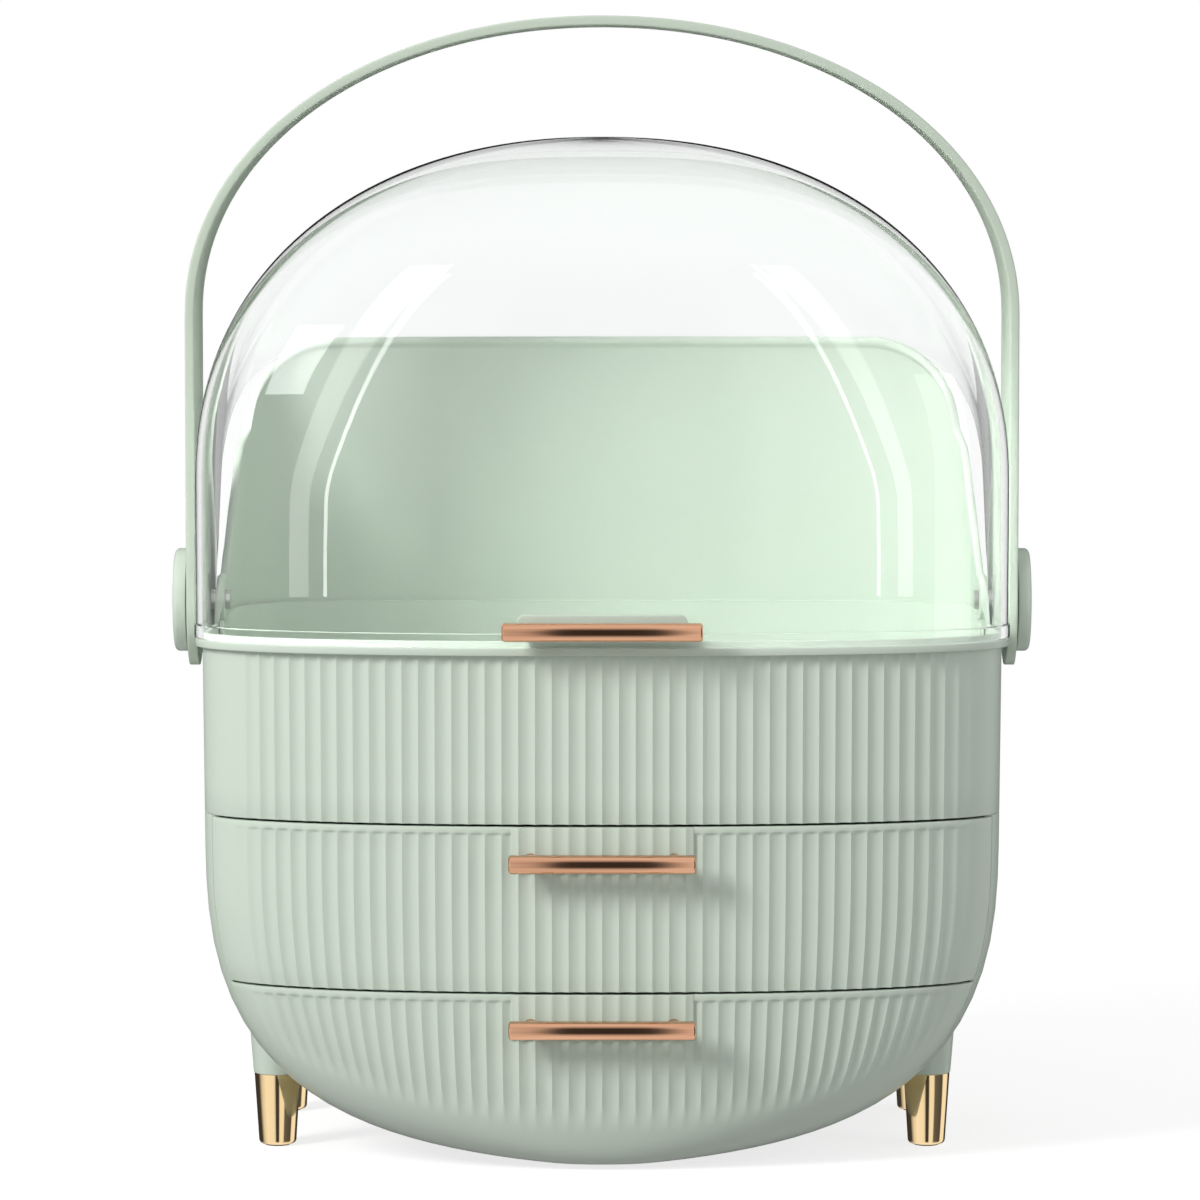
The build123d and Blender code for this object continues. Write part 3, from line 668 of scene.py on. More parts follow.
def make_fronts():
    """Both fluted drawer fronts."""
    upper_low = lower_seam + seam_gap / 2
    upper_high = upper_seam - seam_gap / 2
    edge = [(0.0, 1.0, -0.4), (0.12, 1.0, -0.1), (0.45, 1.0, 0.0)]
    levels = front_levels(upper_low, upper_high, 8, edge)
    front_shell("upper_front_shell", levels, 0.0, "upper_drawer")
    low = bowl_bottom + 1.0
    rises = (0.0, 0.4, 0.9, 1.6, 2.5, 3.6, 5.0, 6.6, 8.5, 10.6, 13.0, 15.6, 18.4)
    bowl = [(rise, 1.0, 0.0) for rise in rises]
    levels = front_levels(low, lower_seam - seam_gap / 2, 22, bowl)
    front_shell("lower_front_shell", levels, bowl_floor, "lower_drawer")


def rib(b, x, z):
    """A slide rib on a floor at a height."""
    block(b, x - rib_half, x + rib_half, rib_front, rib_rear, z - rib_sink, z + rib_height)


def make_casing():
    """Lower casing: smooth sides, rear and bowl floor, with its shelf and slide ribs."""
    b = Build()
    rises = [0.0, 0.25, 0.6, 1.1, 1.8, 2.7, 3.8, 5.2, 7.0, 9.2, 12, 15, 19, 23, 28, 34, 41, 49, 58, 68, 79]
    rises += [91, 103, 115, 124]
    levels = [bowl_bottom + 0.02 + r for r in rises] + [tray_bottom - 0.5]
    outer_rows = [side_row(z, z, 0.0, parting_y) for z in levels]
    outer_rows += [side_row(tray_bottom - 0.12, tray_bottom, 0.1, parting_y)]
    outer_rows += [side_row(tray_bottom - 0.01, tray_bottom, 0.4, parting_y)]
    outer = [b.row(points) for points in outer_rows]
    inner = []
    for points in outer_rows:
        share = (points[0][2] - levels[0]) / (tray_bottom - levels[0])
        height = casing_floor + share * (tray_bottom - 0.01 - casing_floor)
        inner.append(b.row(side_row(height, height - wall, wall, parting_y)))
    open_shell(b, outer, inner, True)
    for side in (-1, 1):
        rib(b, side * low_rib_x, casing_floor)
    shelf_top = lower_seam + shelf / 2
    plate = [side_row(z, z, wall / 2, parting_y) for z in (shelf_top - shelf, shelf_top)]
    b.skin(plate)
    radius = screw_post_radius
    hole, hole_depth = screw_post_hole
    post = [(0, -screw_post_depth), (radius, -screw_post_depth), (radius, -0.02), (hole, -0.02)]
    post.append((hole, -hole_depth))
    for side in (-1, 1):
        rib(b, side * shelf_rib_x, shelf_top)
        for y in screw_post_places:
            lathe(b, post, (side * screw_post_x, y, tray_bottom), 2)
            x = side * (screw_post_x + 4)
            block(b, x - web_half, x + web_half, y - 1, y + 1, tray_bottom - screw_post_depth,
                  tray_bottom - 0.03)
    piece("casing_shell", b, body_plastic, "root", "casing")


def block(b, x0, x1, y0, y1, z0, z1, cut=0.3):
    """A straight bar with cut edges along its top, added to a mesh."""
    low = [(x0, y0, z0), (x1, y0, z0), (x1, y1, z0), (x0, y1, z0)]
    mid = [(x, y, z1 - cut) for x, y, z in low]
    top = [(x + (cut if x == x0 else -cut), y + (cut if y == y0 else -cut), z1) for x, y, z in low]
    b.skin([low, mid, top])


def lathe(b, profile, centre, axis, steps=64, side=1):
    """A turned form: profile is (radius, distance along the axis) from one end to the other."""
    rows = []
    for radius, along in profile:
        row = []
        for a in circle(steps):
            u = max(radius, 0.001) * math.cos(a)
            v = max(radius, 0.001) * math.sin(a)
            offset = ((side * along, u, side * v), (u, -along, v), (u, v, along))[axis]
            row.append(tuple(c + o for c, o in zip(centre, offset)))
        rows.append(row)
    b.skin(rows)


def rounded(radius, along0, along1, r0, r1, steps=5):
    """Profile of a disc or rod between two distances with rounded edges."""
    turns = [math.pi / 2 * k / steps for k in range(steps + 1)]
    points = [(radius - r0 + r0 * math.sin(a), along0 + r0 - r0 * math.cos(a)) for a in turns]
    points += [(radius - r1 + r1 * math.cos(a), along1 - r1 + r1 * math.sin(a)) for a in turns]
    return [(0.0, along0)] + points + [(0.0, along1)]


def box_outline(z, level, inset, half, rear):
    """Plan outline of a drawer box at a height: bowed front, straight sides and rear."""
    plan = Plan(level, inset)
    wide = min(half, plan.front_x(parting_y))
    r = box_round
    front = [-wide + 2 * wide * k / 24 for k in range(25)]
    back = min(rear, plan.rear_y(wide))
    start = plan.front_y(wide)
    right = [(wide, start + (back - r - start) * k / 8) for k in range(1, 8)]
    turns = [math.radians(15 * k) for k in range(7)]
    right += [(wide - r + r * math.cos(a), back - r + r * math.sin(a)) for a in turns]
    middle = [(wide - r) * (1 - k / 10) for k in range(1, 20)]
    row = [(x, plan.front_y(x)) for x in front] + right + [(x, min(rear, plan.rear_y(x))) for x in middle]
    row += [(-x, y) for x, y in reversed(right)]
    return [(x, y, z) for x, y in row]


def make_box(name, low, seam, room, lift, body):
    """Drawer box with rounded edges, a thin wall and a floor; room is left above, beside and behind it."""
    b = Build()
    high = seam - room[0]
    half = body_half_width - room[1]
    rear = rear_reach - room[2]
    floor = low + box_floor
    inset = front_wall + box_gap
    thin = inset + box_wall
    step = lift + box_floor if lift else 0.0
    outer = [low + 0.8] + [low + (high - low) * k / 10 for k in range(1, 10)]
    edge = ((high - 0.3, lift, inset, 0.0), (high, lift, inset + 0.3, 0.3),
            (high, step, thin - 0.3, box_wall - 0.3))
    inner = [high - 0.3 - (high - 0.3 - floor - 1.0) * k / 9 for k in range(10)]
    rows = [box_outline(low, low - lift, inset + 0.5, half, rear)]
    rows += [box_outline(z, z - lift, inset, half, rear) for z in outer]
    rows += [box_outline(z, high - fall, into, half - cut, rear - cut) for z, fall, into, cut in edge]
    half -= box_wall
    rear -= box_wall
    rows += [box_outline(z, z - step, thin, half, rear) for z in inner]
    rows.append(box_outline(floor, floor - step, thin + 1.0, half - 1, rear - 1))
    b.skin(rows)
    piece(name, b, box_plastic, body, body + "_box")


def make_boxes():
    """Both drawer boxes."""
    upper_floor = lower_seam + shelf / 2 + rib_height + slide_gap
    make_box("upper_box_shell", upper_floor, upper_seam, upper_box_room, 0.0, "upper_drawer")
    make_box("lower_box_shell", lower_box_bottom, lower_seam, lower_box_room, front_wall + box_gap,
             "lower_drawer")


# Back wall


def back_point(code, z, inset):
    """Place of a column of the back wall at a height, for its right half."""
    up = max(z - rim_top, 0.0)
    width = half_width(rim_top) - rear_inset - inset - back_side_lean * up
    rear = rear_reach - rear_inset - inset - back_rear_lean * up
    kind, value = code
    if kind == "side":
        return width, value
    return corner(width, rear_side_start, rear, rear_power, value)


def back_edge(code):
    """Height of the back wall's free edge over a column."""
    z = back_top
    flat_half = back_top_half_width - back_corner_radius
    corner_z = back_top - back_corner_radius
    far = body_half_width + back_corner_radius / 2
    for _ in range(30):
        x, y = back_point(code, z, 0.0)
        ear = pivot_z + math.sqrt(max(ear_radius ** 2 - y ** 2, 0.0))
        top = back_top
        if x > back_top_half_width:
            beyond = (x - back_top_half_width) / (far - back_top_half_width)
            top = corner_z - beyond * (corner_z - rim_top)
        elif x > flat_half:
            over = min((x - flat_half) / back_corner_radius, 1.0)
            top = corner_z + back_corner_radius * math.sqrt(1 - over * over)
        z = 0.5 * z + 0.5 * min(max(ear, pivot_z + y / back_edge_slope), top)
    return z


def make_back_wall():
    """Tall curved back wall with a rounded free edge, ears with bosses and its tongue."""
    b = Build()
    sides = (-ear_radius, -9.6, -9, -8, -6.5, -5, -3, -1, 1, 3, 5, 6, 7, 8, 10, 12.5, 15, 17.5)
    codes = mirrored([("side", y) for y in sides] + [("turn", 1.5 * k) for k in range(61)])
    tops = [back_edge(code) for code, sign in codes]
    bead = ((0.08, 0.55), (0.3, 0.28), (0.75, 0.1), (1.3, 0.0), (2.1, 0.12), (2.8, 0.55), (3.25, 1.2),
            (3.4, 2.0), (3.3, 2.8), (3.0, 3.5), (2.65, 4.1), (wall + 0.05, 4.6))

    def row(share, inset, drop):
        """One row: share of the way up from the rim to the edge, less drop."""
        points = []
        for (code, sign), top in zip(codes, tops):
            z = rim_top + (top - drop - rim_top) * share
            x, y = back_point(code, z, inset)
            points.append((sign * x, y, z))
        return points

    outer = [row(k / 14, 0.0, back_edge_round) for k in range(15)]
    edge = [row(1.0, inset, drop) for inset, drop in bead]
    inner = [row(1 - k / 14, wall, back_bead_drop) for k in range(15)]
    low = rim_top - tongue_depth
    tongue = wall + 0.2
    thick = tongue + tongue_thickness

    def tongue_row(z, inset):
        """One row of the tongue below the rim."""
        spots = [(sign, *back_point(code, rim_top, inset)) for code, sign in codes]
        return [(sign * x, y, z) for sign, x, y in spots]

    lower = ((rim_top + 3.0, thick), (low + 0.3, thick), (low, thick - 0.3), (low, tongue + 0.3),
             (low + 0.3, tongue), (rim_top - 0.05, tongue))
    inner[-1] = tongue_row(rim_top + 3.2, wall)
    rows = outer + edge + inner + [tongue_row(z, inset) for z, inset in lower]
    numbered = [b.row(points) for points in rows]
    b.strips(numbered + numbered[:1], False)
    b.fill([r[0] for r in numbered], flip=True)
    b.fill([r[-1] for r in numbered])
    for side in (-1, 1):
        profile = rounded(boss_radius, 0.0, boss_reach, 0.4, 0.1)
        lathe(b, profile, (side * (body_half_width - boss_inset), 0.0, pivot_z), 0, side=side)
    piece("back_wall_shell", b, body_plastic, "root", "back_wall")


# Lid


def dome_share(z, rise):
    """How far the lid's outline draws in at a height."""
    if z <= lid_shoulder:
        return 1.0
    sine = min((z - lid_shoulder) / (rise - lid_shoulder), 1.0) ** (lid_power / 2)
    return math.sqrt(max(1 - sine * sine, 0.0)) ** (2 / lid_power)


def lid_base(code, outset):
    """Place of a lid column below the shoulder."""
    kind, value = code
    if kind == "side":
        return body_half_width + outset, value
    if kind == "front":
        x, y = corner(body_half_width + outset, front_side_start, front_reach + outset, front_power, value)
        return x, -y
    return corner(body_half_width + outset, rear_side_start, rear_reach + outset, rear_power, value)


def lid_low(code):
    """Height of the lid's lower edge over a column."""
    y = lid_base(code, lid_outer)[1]
    if y <= 0:
        return lid_bottom
    ear = ear_radius - lid_seat_gap
    lap = lid_edge_lap * math.sqrt(1 + back_edge_slope ** 2)
    if y < ear:
        return pivot_z - math.sqrt(ear * ear - y * y)
    low = pivot_z
    high = lid_top
    for _ in range(40):
        z = (low + high) / 2
        if y * dome_share(z, lid_top) > (z - pivot_z) * back_edge_slope + lap:
            low = z
        else:
            high = z
    return min(low, back_top - lid_edge_lap)


def lid_height(kind, value, low, rise):
    """Height of a row of the lid over a column whose lower edge is at low."""
    lip = lid_lip_height + 1.0
    base = lid_bottom + lip
    start = max(low, base)
    if kind == "low":
        if low > base:
            return low + value * lid_edge_share
        return low + (value if low == lid_bottom else value * max(start - low, 0.6) / lip)
    if kind == "up":
        first = start if low <= base else low + lip * lid_edge_share
        return first + (lid_shoulder - first if first < lid_shoulder else 0.05) * value
    z = lid_shoulder + (rise - lid_shoulder) * math.sin(math.radians(value)) ** (2 / lid_power)
    if low <= lid_shoulder - 1:
        return z
    floor = low + lip * lid_edge_share + 0.05
    above = floor + value / lid_last_turn * 6
    return min(z if z > max(floor + 6, above) else above, lid_shoulder + (rise - lid_shoulder) * 0.99995)


def lid_skin(outset, rise, codes, lows, has_lip):
    """Rows of one skin of the lid from its lower edge to the crown."""
    high = lid_lip_height
    stages = [("low", z) for z in (0.0, 0.35, 0.8, high - 0.7, high - 0.3, high, high + 1.0)]
    stages += [("up", k / 16) for k in range(1, 16)]
    stages += [("turn", lid_last_turn * k / lid_turn_steps) for k in range(lid_turn_steps + 1)]
    rows = []
    for kind, value in stages:
        row = []
        for (code, sign), low in zip(codes, lows):
            z = lid_height(kind, value, low, rise)
            extra = 0.0
            in_front = lid_base(code, 0.0)[1] < rim_end_y
            if has_lip and kind == "low" and in_front and value <= high - 0.3:
                extra = lid_lip_thickness - (0.3 if value == 0.0 else 0.0)
            elif kind == "low" and value == 0.0:
                extra = -0.25 if has_lip else 0.25
            x, y = lid_base(code, outset + extra)
            share = dome_share(z, rise)
            row.append((sign * x * share, y * share, z))
        rows.append(row)
    return rows


def make_lid():
    """Clear dome: outer and inner skins, a thicker lip and a rounded free edge."""
    b = Build()
    sides = (-45, -39, -33, -27, -21, -16, rim_end_y - 0.3, rim_end_y + 0.3, -9, -6, -3, -0.6, 0.0, 0.6, 2,
             3.5, 5, 6.5, 7.7, 8.6, 9.2, 9.6, 9.79, 9.82, 11, 14, 17)
    half = [("front", 90 - 2.25 * k) for k in range(40)] + [("side", y) for y in sides]
    codes = mirrored(half + [("rear", 2.25 * k) for k in range(41)], 1)
    lows = [lid_low(code) for code, sign in codes]
    outer = [b.row(points) for points in lid_skin(lid_outer, lid_top, codes, lows, True)]
    inner = [b.row(points) for points in lid_skin(lid_gap, lid_top - lid_crown_wall, codes, lows, False)]
    b.strips(outer, True)
    b.strips(inner, True, flip=True)
    b.strip(inner[0], outer[0], True)
    b.fill(outer[-1])
    b.fill(inner[-1], flip=True)
    piece("lid_shell", b, acrylic, "lid", "lid_dome", sharp=50)


# Handle


def strap_profile():
    """Section of the strap with rounded corners, as (depth, distance in from its outer face)."""
    profile = []
    r = strap_round
    h = strap_half_depth - r
    wide = strap_thickness - r
    for depth, across, start in ((h, wide, 0), (-h, wide, 90), (-h, r, 180), (h, r, 270)):
        for k in range(5):
            a = math.radians(start + 90 * k / 4)
            profile.append((depth + r * math.cos(a), strap_thickness - (across + r * math.sin(a))))
    return profile


def make_handle():
    """Carry handle: a wide thin strap bent into an arch, with round ends and soft edges."""
    b = Build()
    outer_x = strap_inner_x + strap_thickness
    stations = [("end", math.pi / 2 * k / 24) for k in range(24)]
    stations += [("leg", pivot_z + (handle_spring_z - pivot_z) * k / 12) for k in range(12)]
    stations += [("arch", math.radians(1.5 * k)) for k in range(61)]
    rows = []
    for (kind, value), side in mirrored(stations):
        row = []
        for depth, into in strap_profile():
            x = outer_x - into
            z = value
            if kind == "arch":
                x *= math.cos(value) ** (2 / handle_power)
                high = handle_top - into - handle_spring_z
                z = handle_spring_z + high * math.sin(value) ** (2 / handle_power)
            elif kind == "end":
                z = pivot_z - strap_half_depth * math.sqrt(max(1 - math.sin(value) ** 2, 0.0))
                depth *= max(math.sin(value), 0.06)
            row.append((side * x, depth, z))
        rows.append(row)
    b.skin(rows)
    piece("handle_strap", b, handle_plastic, "handle", "carry_handle", sharp=45)


# Pulls, feet and pivots


def bar_section(inset):
    """Section of a pull bar as (distance forward, height), drawn in by inset."""
    half = bar_height / 2
    mid = bar_depth - bar_flat
    points = [(0.0, half - 0.25), (0.07, half - 0.07), (0.25, half), (bar_flat - 0.3, half)]
    for k in range(25):
        a = math.radians(90 - 7.5 * k)
        points.append((bar_flat + mid * math.cos(a), half * math.sin(a)))
    points += [(bar_flat - 0.3, -half), (0.25, -half), (0.07, 0.07 - half), (0.0, 0.25 - half)]
    share = 1 - inset / half
    return [(bar_depth / 2 + (d - bar_depth / 2) * share, h * share) for d, h in points]


def make_bar(name, length, z, face_y, standoff, body):
    """Half-round pull bar with bevelled ends, on two posts."""
    b = Build()
    back = face_y - standoff
    ends = ((0.0, bar_bevel + 0.15), (0.05, bar_bevel), (bar_bevel - 0.1, 0.07), (bar_bevel + 0.1, 0.0))
    stations = [(along - length / 2, inset) for along, inset in ends]
    stations += [(length / 2 - along, inset) for along, inset in reversed(ends)]
    b.skin([[(x, back - d, z + h) for d, h in bar_section(inset)] for x, inset in stations])
    for side in (-1, 1):
        post = [(0, -0.5), (post_radius + 0.5, -0.5), (post_radius + 0.15, 0.15), (post_radius, 0.6)]
        post += [(post_radius, standoff + 0.5), (0, standoff + 0.5)]
        lathe(b, post, (side * post_spacing / 2, face_y, z), 1, steps=32)
    piece(name, b, rose_gold, body, body + "_pull_bar", sharp=30)


def edge_steps(low, high, count, soft=0.4):
    """Places from low to high with a rounded edge at both ends, as (place, depth)."""
    places = [(low, soft), (low + 0.3 * soft, 0.3 * soft), (low + soft, 0.0)]
    places += [(low + soft + (high - low - 2 * soft) * k / count, 0.0) for k in range(1, count)]
    return places + [(high - soft, 0.0), (high - 0.3 * soft, 0.3 * soft), (high, soft)]


def make_plate(name, top, body):
    """Base plate of a drawer's pull: a bowed plate with the front's flutes and soft edges."""
    b = Build()
    rows = []
    columns = edge_steps(-base_half_width, base_half_width, 132)
    for z, drop in edge_steps(top - base_drop, top, 10):
        plan = Plan(z, -base_raise)
        places = [ridge_x(r, Plan(z)) for r in ridges]
        row = []
        for x, inset in columns:
            groove = 0.0
            for a, c in zip(places, places[1:]):
                if a <= x < c:
                    groove = dip(plate_flute_depth, (x - a) / (c - a))
            sink = math.hypot(math.hypot(drop, inset), groove)
            row.append((x, plan.front_y(x) + sink, z))
        side, back = row[0][0], Plan(z).front_y(row[0][0]) + base_sink
        rows.append([(side, back, z)] + row + [(row[-1][0], back, z)])
    backs = [[(x, max(y, Plan(z).front_y(x) + base_sink), z) for x, y, z in rows[end]] for end in (0, -1)]
    numbered = [b.row(points) for points in backs[:1] + rows + backs[1:]]
    b.strips(numbered + numbered[:1], False)
    for end in (0, -1):
        loop = [r[end] for r in numbered]
        b.faces.append(tuple(loop if end else reversed(loop)))
    piece(name, b, drawer_plastic, body, body + "_pull_base")


def tab_loop(inset, sink, outset):
    """Rounded outline of the lid's base tab on the lid's front, drawn in by inset."""
    half = lid_base_half_width - inset
    low = rim_top + lid_base_low_rise + inset
    high = rim_top + lid_base_top_rise - inset
    r = max(lid_base_round - inset, 0.3)
    loop = []
    for start in (0, 90, 180, 270):
        cx = half - r if start in (0, 270) else r - half
        cz = high - r if start < 180 else low + r
        for k in range(9):
            a = math.radians(start + 11.25 * k)
            loop.append((cx + r * math.cos(a), cz + r * math.sin(a)))
    dense = []
    for (x0, z0), (x1, z1) in zip(loop, loop[1:] + loop[:1]):
        parts = max(int(abs(x1 - x0) / 3), 1)
        dense += [(x0 + (x1 - x0) * k / parts, z0 + (z1 - z0) * k / parts) for k in range(parts)]
    row = []
    for x, z in dense:
        share = round_share(abs(x) / (body_half_width + outset), front_power)
        row.append((x, sink - front_side_start - (front_reach + outset - front_side_start) * share, z))
    return row


def make_tab():
    """Base tab of the lid's pull: a curved plate with rounded corners and soft edges."""
    b = Build()
    outset = lid_outer + lid_lip_thickness + lid_base_thickness
    count = len(tab_loop(1.0, 0.0, outset))
    rows = [tab_loop(0.0, lid_base_thickness, outset), tab_loop(0.0, 0.4, outset)]
    for inset, sink in ((0.12, 0.12), (0.4, 0.0), (1.2, 0.0), (2.2, 0.0), (3.4, 0.0), (4.4, 0.0)):
        rows.append(tab_loop(inset, sink, outset))
    rows = [row[:count] + [row[-1]] * (count - len(row)) for row in rows]
    b.skin(rows)
    piece("lid_pull_tab", b, drawer_plastic, "lid", "lid_pull_base")


def make_pulls():
    """The three pulls."""
    for name, seam, drop in (("upper", upper_seam, upper_bar_drop), ("lower", lower_seam, lower_bar_drop)):
        z = seam - drop
        face_y = Plan(z).front_y(0) - base_raise
        make_bar(name + "_bar_shell", drawer_bar_length, z, face_y, bar_standoff, name + "_drawer")
        make_plate(name + "_plate_shell", seam - seam_gap / 2, name + "_drawer")
    face_y = -(front_reach + lid_outer + lid_lip_thickness + lid_base_thickness)
    make_bar("lid_bar_shell", lid_bar_length, rim_top + lid_bar_rise, face_y, lid_bar_standoff, "lid")
    make_tab()


def bowl_height(x, y):
    """Height at which the bowl's underside passes over a place."""
    low = bowl_bottom + 0.05
    high = waist_height
    for _ in range(30):
        z = (low + high) / 2
        plan = Plan(z)
        inside = abs(x) < plan.width and plan.front_y(x) < y < plan.rear_y(x)
        low, high = (low, z) if inside else (z, high)
    return high


def foot_profile():
    """Profile of a foot cap with a rounded lower edge, as (radius, height)."""
    low = pad_stand + 0.3
    profile = [(0, low), (pad_radius + 0.2, low), (pad_radius + 0.5, pad_stand)]
    for k in range(8):
        a = math.radians(12.5 * k)
        profile.append((foot_bottom_radius - foot_round * (1 - math.sin(a)),
                        pad_stand + foot_round * (1 - math.cos(a))))
    return profile + [(foot_top_radius - 0.02, foot_height - 0.25), (foot_top_radius - 0.2, foot_height),
                      (0, foot_height)]


def stem_rows(x, y):
    """Rows of a flared stem from its foot cap up to where it meets the bowl."""
    turns = circle(turn_steps)
    tops = []
    for a in turns:
        r = stem_radius
        for _ in range(6):
            top = min(bowl_height(x + r * math.cos(a), y + r * math.sin(a)) + 0.15, stem_top)
            r = stem_radius + stem_flare * (top - foot_height)
        tops.append(max(top, foot_height + 0.6))
    rows = []
    for share in [0.0, 0.012, 0.03] + [0.03 + 0.97 * k / 12 for k in range(1, 13)]:
        row = []
        for a, top in zip(turns, tops):
            z = foot_height + (top - foot_height) * share
            r = stem_radius + stem_flare * (z - foot_height) - (0.2 if share == 0.0 else 0.0)
            row.append((x + r * math.cos(a), y + r * math.sin(a), z))
        rows.append(row)
    return rows


def make_legs():
    """Green stems that meet the bowl, and gold caps with rounded ends."""
    for end, y in (("front", front_leg_inset - front_reach), ("rear", rear_reach - rear_leg_inset)):
        for hand, side in hands:
            leg = end + "_" + hand
            x = side * (body_half_width - leg_side_inset)
            b = Build()
            lathe(b, foot_profile(), (x, y, 0.0), 2, steps=turn_steps)
            piece("cap_shell_" + leg, b, gold, "root", "foot_cap_" + leg, sharp=40)
            b = Build()
            b.skin(stem_rows(x, y))
            piece("stem_shell_" + leg, b, body_plastic, "root", "leg_stem_" + leg)


def make_caps():
    """Round cover caps over the pivots."""
    inner = strap_inner_x + strap_thickness + cap_gap
    for hand, side in hands:
        b = Build()
        profile = rounded(cap_radius, 0.0, cap_thickness, 0.3, cap_round, steps=8)
        lathe(b, profile, (side * inner, 0.0, pivot_z), 0, steps=96, side=side)
        piece("pivot_cap_shell_" + hand, b, body_plastic, "handle", "pivot_cap_" + hand)


make_tray()
make_fronts()
make_casing()
make_boxes()
make_back_wall()
make_lid()
make_handle()
make_pulls()
make_legs()
make_caps()


# Small pieces of the model that stay: finishes by node

finishes = (
    (steel, ("pivot_pins", "pivot_screws", "tray_screws", "leg_studs", "upper_drawer_pull_screws",
             "lower_drawer_pull_screws", "lid_pull_screws")),
    (washer_plastic, ("lid_washers", "handle_washers")),
    (pad_rubber, ("foot_pads",)),
)
for material, nodes in finishes:
    for node in nodes:
        kept = frame["nodes"][node]
        kept.data.materials.clear()
        kept.data.materials.append(material)
        smooth(kept.data, 35)


# Floor, background, lamps and camera


def sees_background(tree):
    """The light path, and 1 for rays from the camera, also through clear pieces, or 0 for lighting."""
    path = add_node(tree, "LightPath")
    seen = calculate(tree, "MAXIMUM", path["Is Camera Ray"], path["Is Transmission Ray"])
    straight = calculate(tree, "LESS_THAN", path["Diffuse Depth"], 0.5)
    return path, calculate(tree, "MULTIPLY", seen, straight)


def make_floor():
    """Pale floor that keeps the object's shadow and runs out into the white around it."""
    material, tree, shader = new_material("floor_white")
    feed(tree, shader, {"Base Color": (floor_tone, floor_tone, floor_tone, 1), "Roughness": 0.9,
                        "Specular IOR Level": 0.0})
    path, seen = sees_background(tree)
    levels = (0.0, floor_glow, 1.0)
    none, glow, white = [add_node(tree, "Emission", {"Strength": level})[0] for level in levels]
    lit = add_node(tree, "AddShader", {0: shader.outputs[0], 1: mix_shaders(tree, seen, none, glow)})[0]
    spot = add_node(tree, "TexCoord")["Object"]
    reach = add_node(tree, "VectorMath", {0: spot}, "LENGTH")["Value"]
    outer = calculate(tree, "MULTIPLY", remap(tree, reach, "From", *floor_fade), seen)
    edge = mix_shaders(tree, outer, lit, white)
    clear = add_node(tree, "BsdfTransparent")[0]
    surface = mix_shaders(tree, path["Is Glossy Ray"], edge, clear)
    feed(tree, tree.nodes["Material Output"], {"Surface": surface})
    rim = [(floor_radius * math.cos(a), floor_radius * math.sin(a), 0) for a in circle(96)]
    new_object("floor", rim, [tuple(range(len(rim)))], material)


def make_world():
    """White studio; polished metal sees it with dark and bright bands round the object."""
    world = bpy.data.worlds.new("studio")
    bpy.context.scene.world = world
    world.use_nodes = True
    tree = world.node_tree
    white = (1, 1, 1, 1)
    path, seen = sees_background(tree)
    soft = tree.nodes["Background"]
    inside = remap(tree, path["Is Transmission Ray"], "To", world_light, world_light * under_lid_share)
    feed(tree, soft, {"Color": white, "Strength": inside})
    direction = add_node(tree, "SeparateXYZ", {0: add_node(tree, "TexCoord")["Generated"]})
    turn = calculate(tree, "ARCTAN2", direction["X"], calculate(tree, "MULTIPLY", direction["Y"], -1.0))
    bands = add_node(tree, "ValToRGB", {"Fac": remap(tree, turn, "From", -math.pi, math.pi)})["Color"]
    ramp = bands.node.color_ramp
    while len(ramp.elements) < len(studio_bands):
        ramp.elements.new(0.5)
    for element, (angle, level) in zip(ramp.elements, studio_bands):
        element.position = (angle + 180) / 360
        element.color = (level, level, level, 1)
    lift = remap(tree, calculate(tree, "ABSOLUTE", direction["Z"]), "From", *band_fade)
    around = add_node(tree, "Background", {"Color": mix_colours(tree, lift, bands, white)})[0]
    light = mix_shaders(tree, path["Is Glossy Ray"], soft.outputs[0], around)
    background = add_node(tree, "Background", {"Color": white, "Strength": 1.0})[0]
    feed(tree, tree.nodes["World Output"], {"Surface": mix_shaders(tree, seen, light, background)})


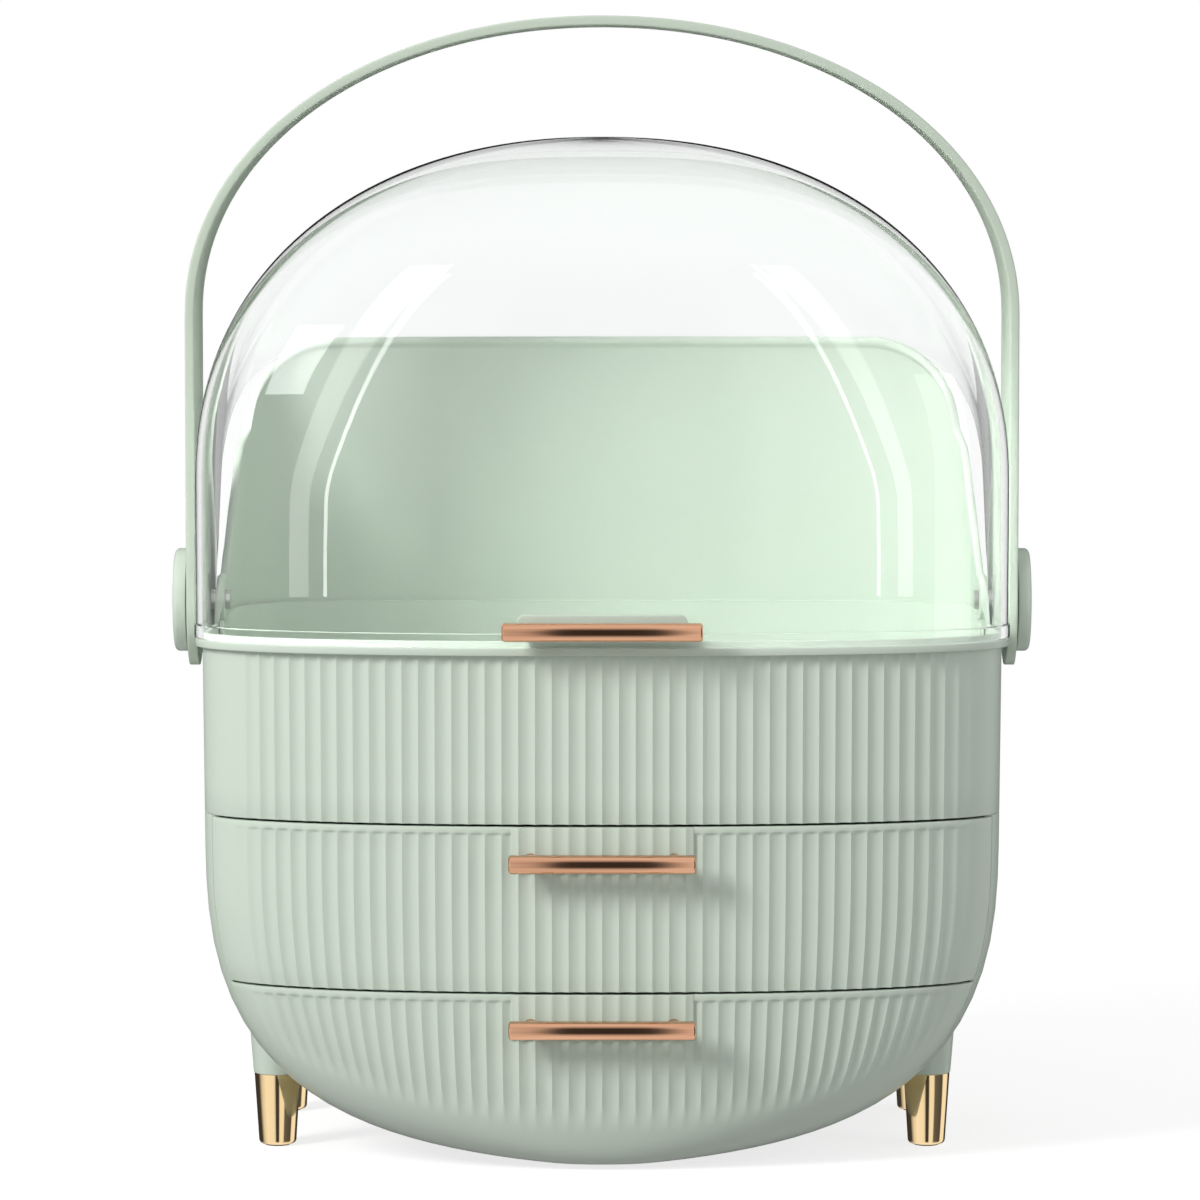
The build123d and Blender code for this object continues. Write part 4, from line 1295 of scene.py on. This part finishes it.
def strip_material(name, strength):
    """A soft box that only sharp reflections see."""
    material, tree, shader = new_material(name)
    tree.nodes.remove(shader)
    path = add_node(tree, "LightPath")
    sharp = calculate(tree, "MULTIPLY", path["Is Glossy Ray"], path["Is Singular Ray"])
    clear = add_node(tree, "BsdfTransparent")[0]
    glow = add_node(tree, "Emission", {"Strength": strength})[0]
    feed(tree, tree.nodes["Material Output"], {"Surface": mix_shaders(tree, sharp, clear, glow)})
    return material


def make_strips():
    """Long narrow soft boxes that arch over the object and give the lid its bright lines."""
    steps = 80
    faces = [(2 * k, 2 * k + 1, 2 * k + 3, 2 * k + 2) for k in range(steps)]
    for name, angle, splay, width, strength in studio_strips:
        points = []
        for k in range(steps + 1):
            rise = math.radians(strip_foot + (strip_end - strip_foot) * k / steps)
            turn = math.radians(angle + splay * math.exp(-max(math.degrees(rise) + 3, 0) / strip_bend))
            ahead = Vector((math.sin(turn), -math.cos(turn), 0))
            across = Vector((math.cos(turn), math.sin(turn), 0))
            height = studio_centre[2] + strip_away * math.sin(rise)
            centre = ahead * math.cos(rise) * strip_away + Vector((0, 0, height))
            points += [tuple(centre - across * width / 2), tuple(centre + across * width / 2)]
        new_object(name, points, faces, strip_material(name, strength))


def make_lights():
    """Soft rectangular lamps: the key from the upper left and a weak one from the right."""
    for name, place_at, size, power in studio_lamps:
        data = bpy.data.lights.new(name, "AREA")
        data.shape = "RECTANGLE"
        data.size, data.size_y = size
        data.energy = power
        made = bpy.data.objects.new(name, data)
        made.location = place_at
        made.rotation_euler = (Vector(studio_centre) - Vector(place_at)).to_track_quat("-Z", "Y").to_euler()
        made.visible_glossy = False
        bpy.context.scene.collection.objects.link(made)


def make_camera():
    """Camera at the photograph's viewpoint."""
    data = bpy.data.cameras.new("camera")
    data.lens = camera_lens
    data.sensor_width = sensor
    data.clip_start = 0.05
    data.clip_end = 50.0
    made = bpy.data.objects.new("camera", data)
    made.location = place(camera_x, camera_y, camera_z)
    made.rotation_euler = (math.radians(90 - camera_pitch), 0, 0)
    bpy.context.scene.collection.objects.link(made)
    bpy.context.scene.camera = made


make_floor()
make_world()
make_strips()
make_lights()
make_camera()
bpy.context.scene.view_settings.view_transform = "Standard"
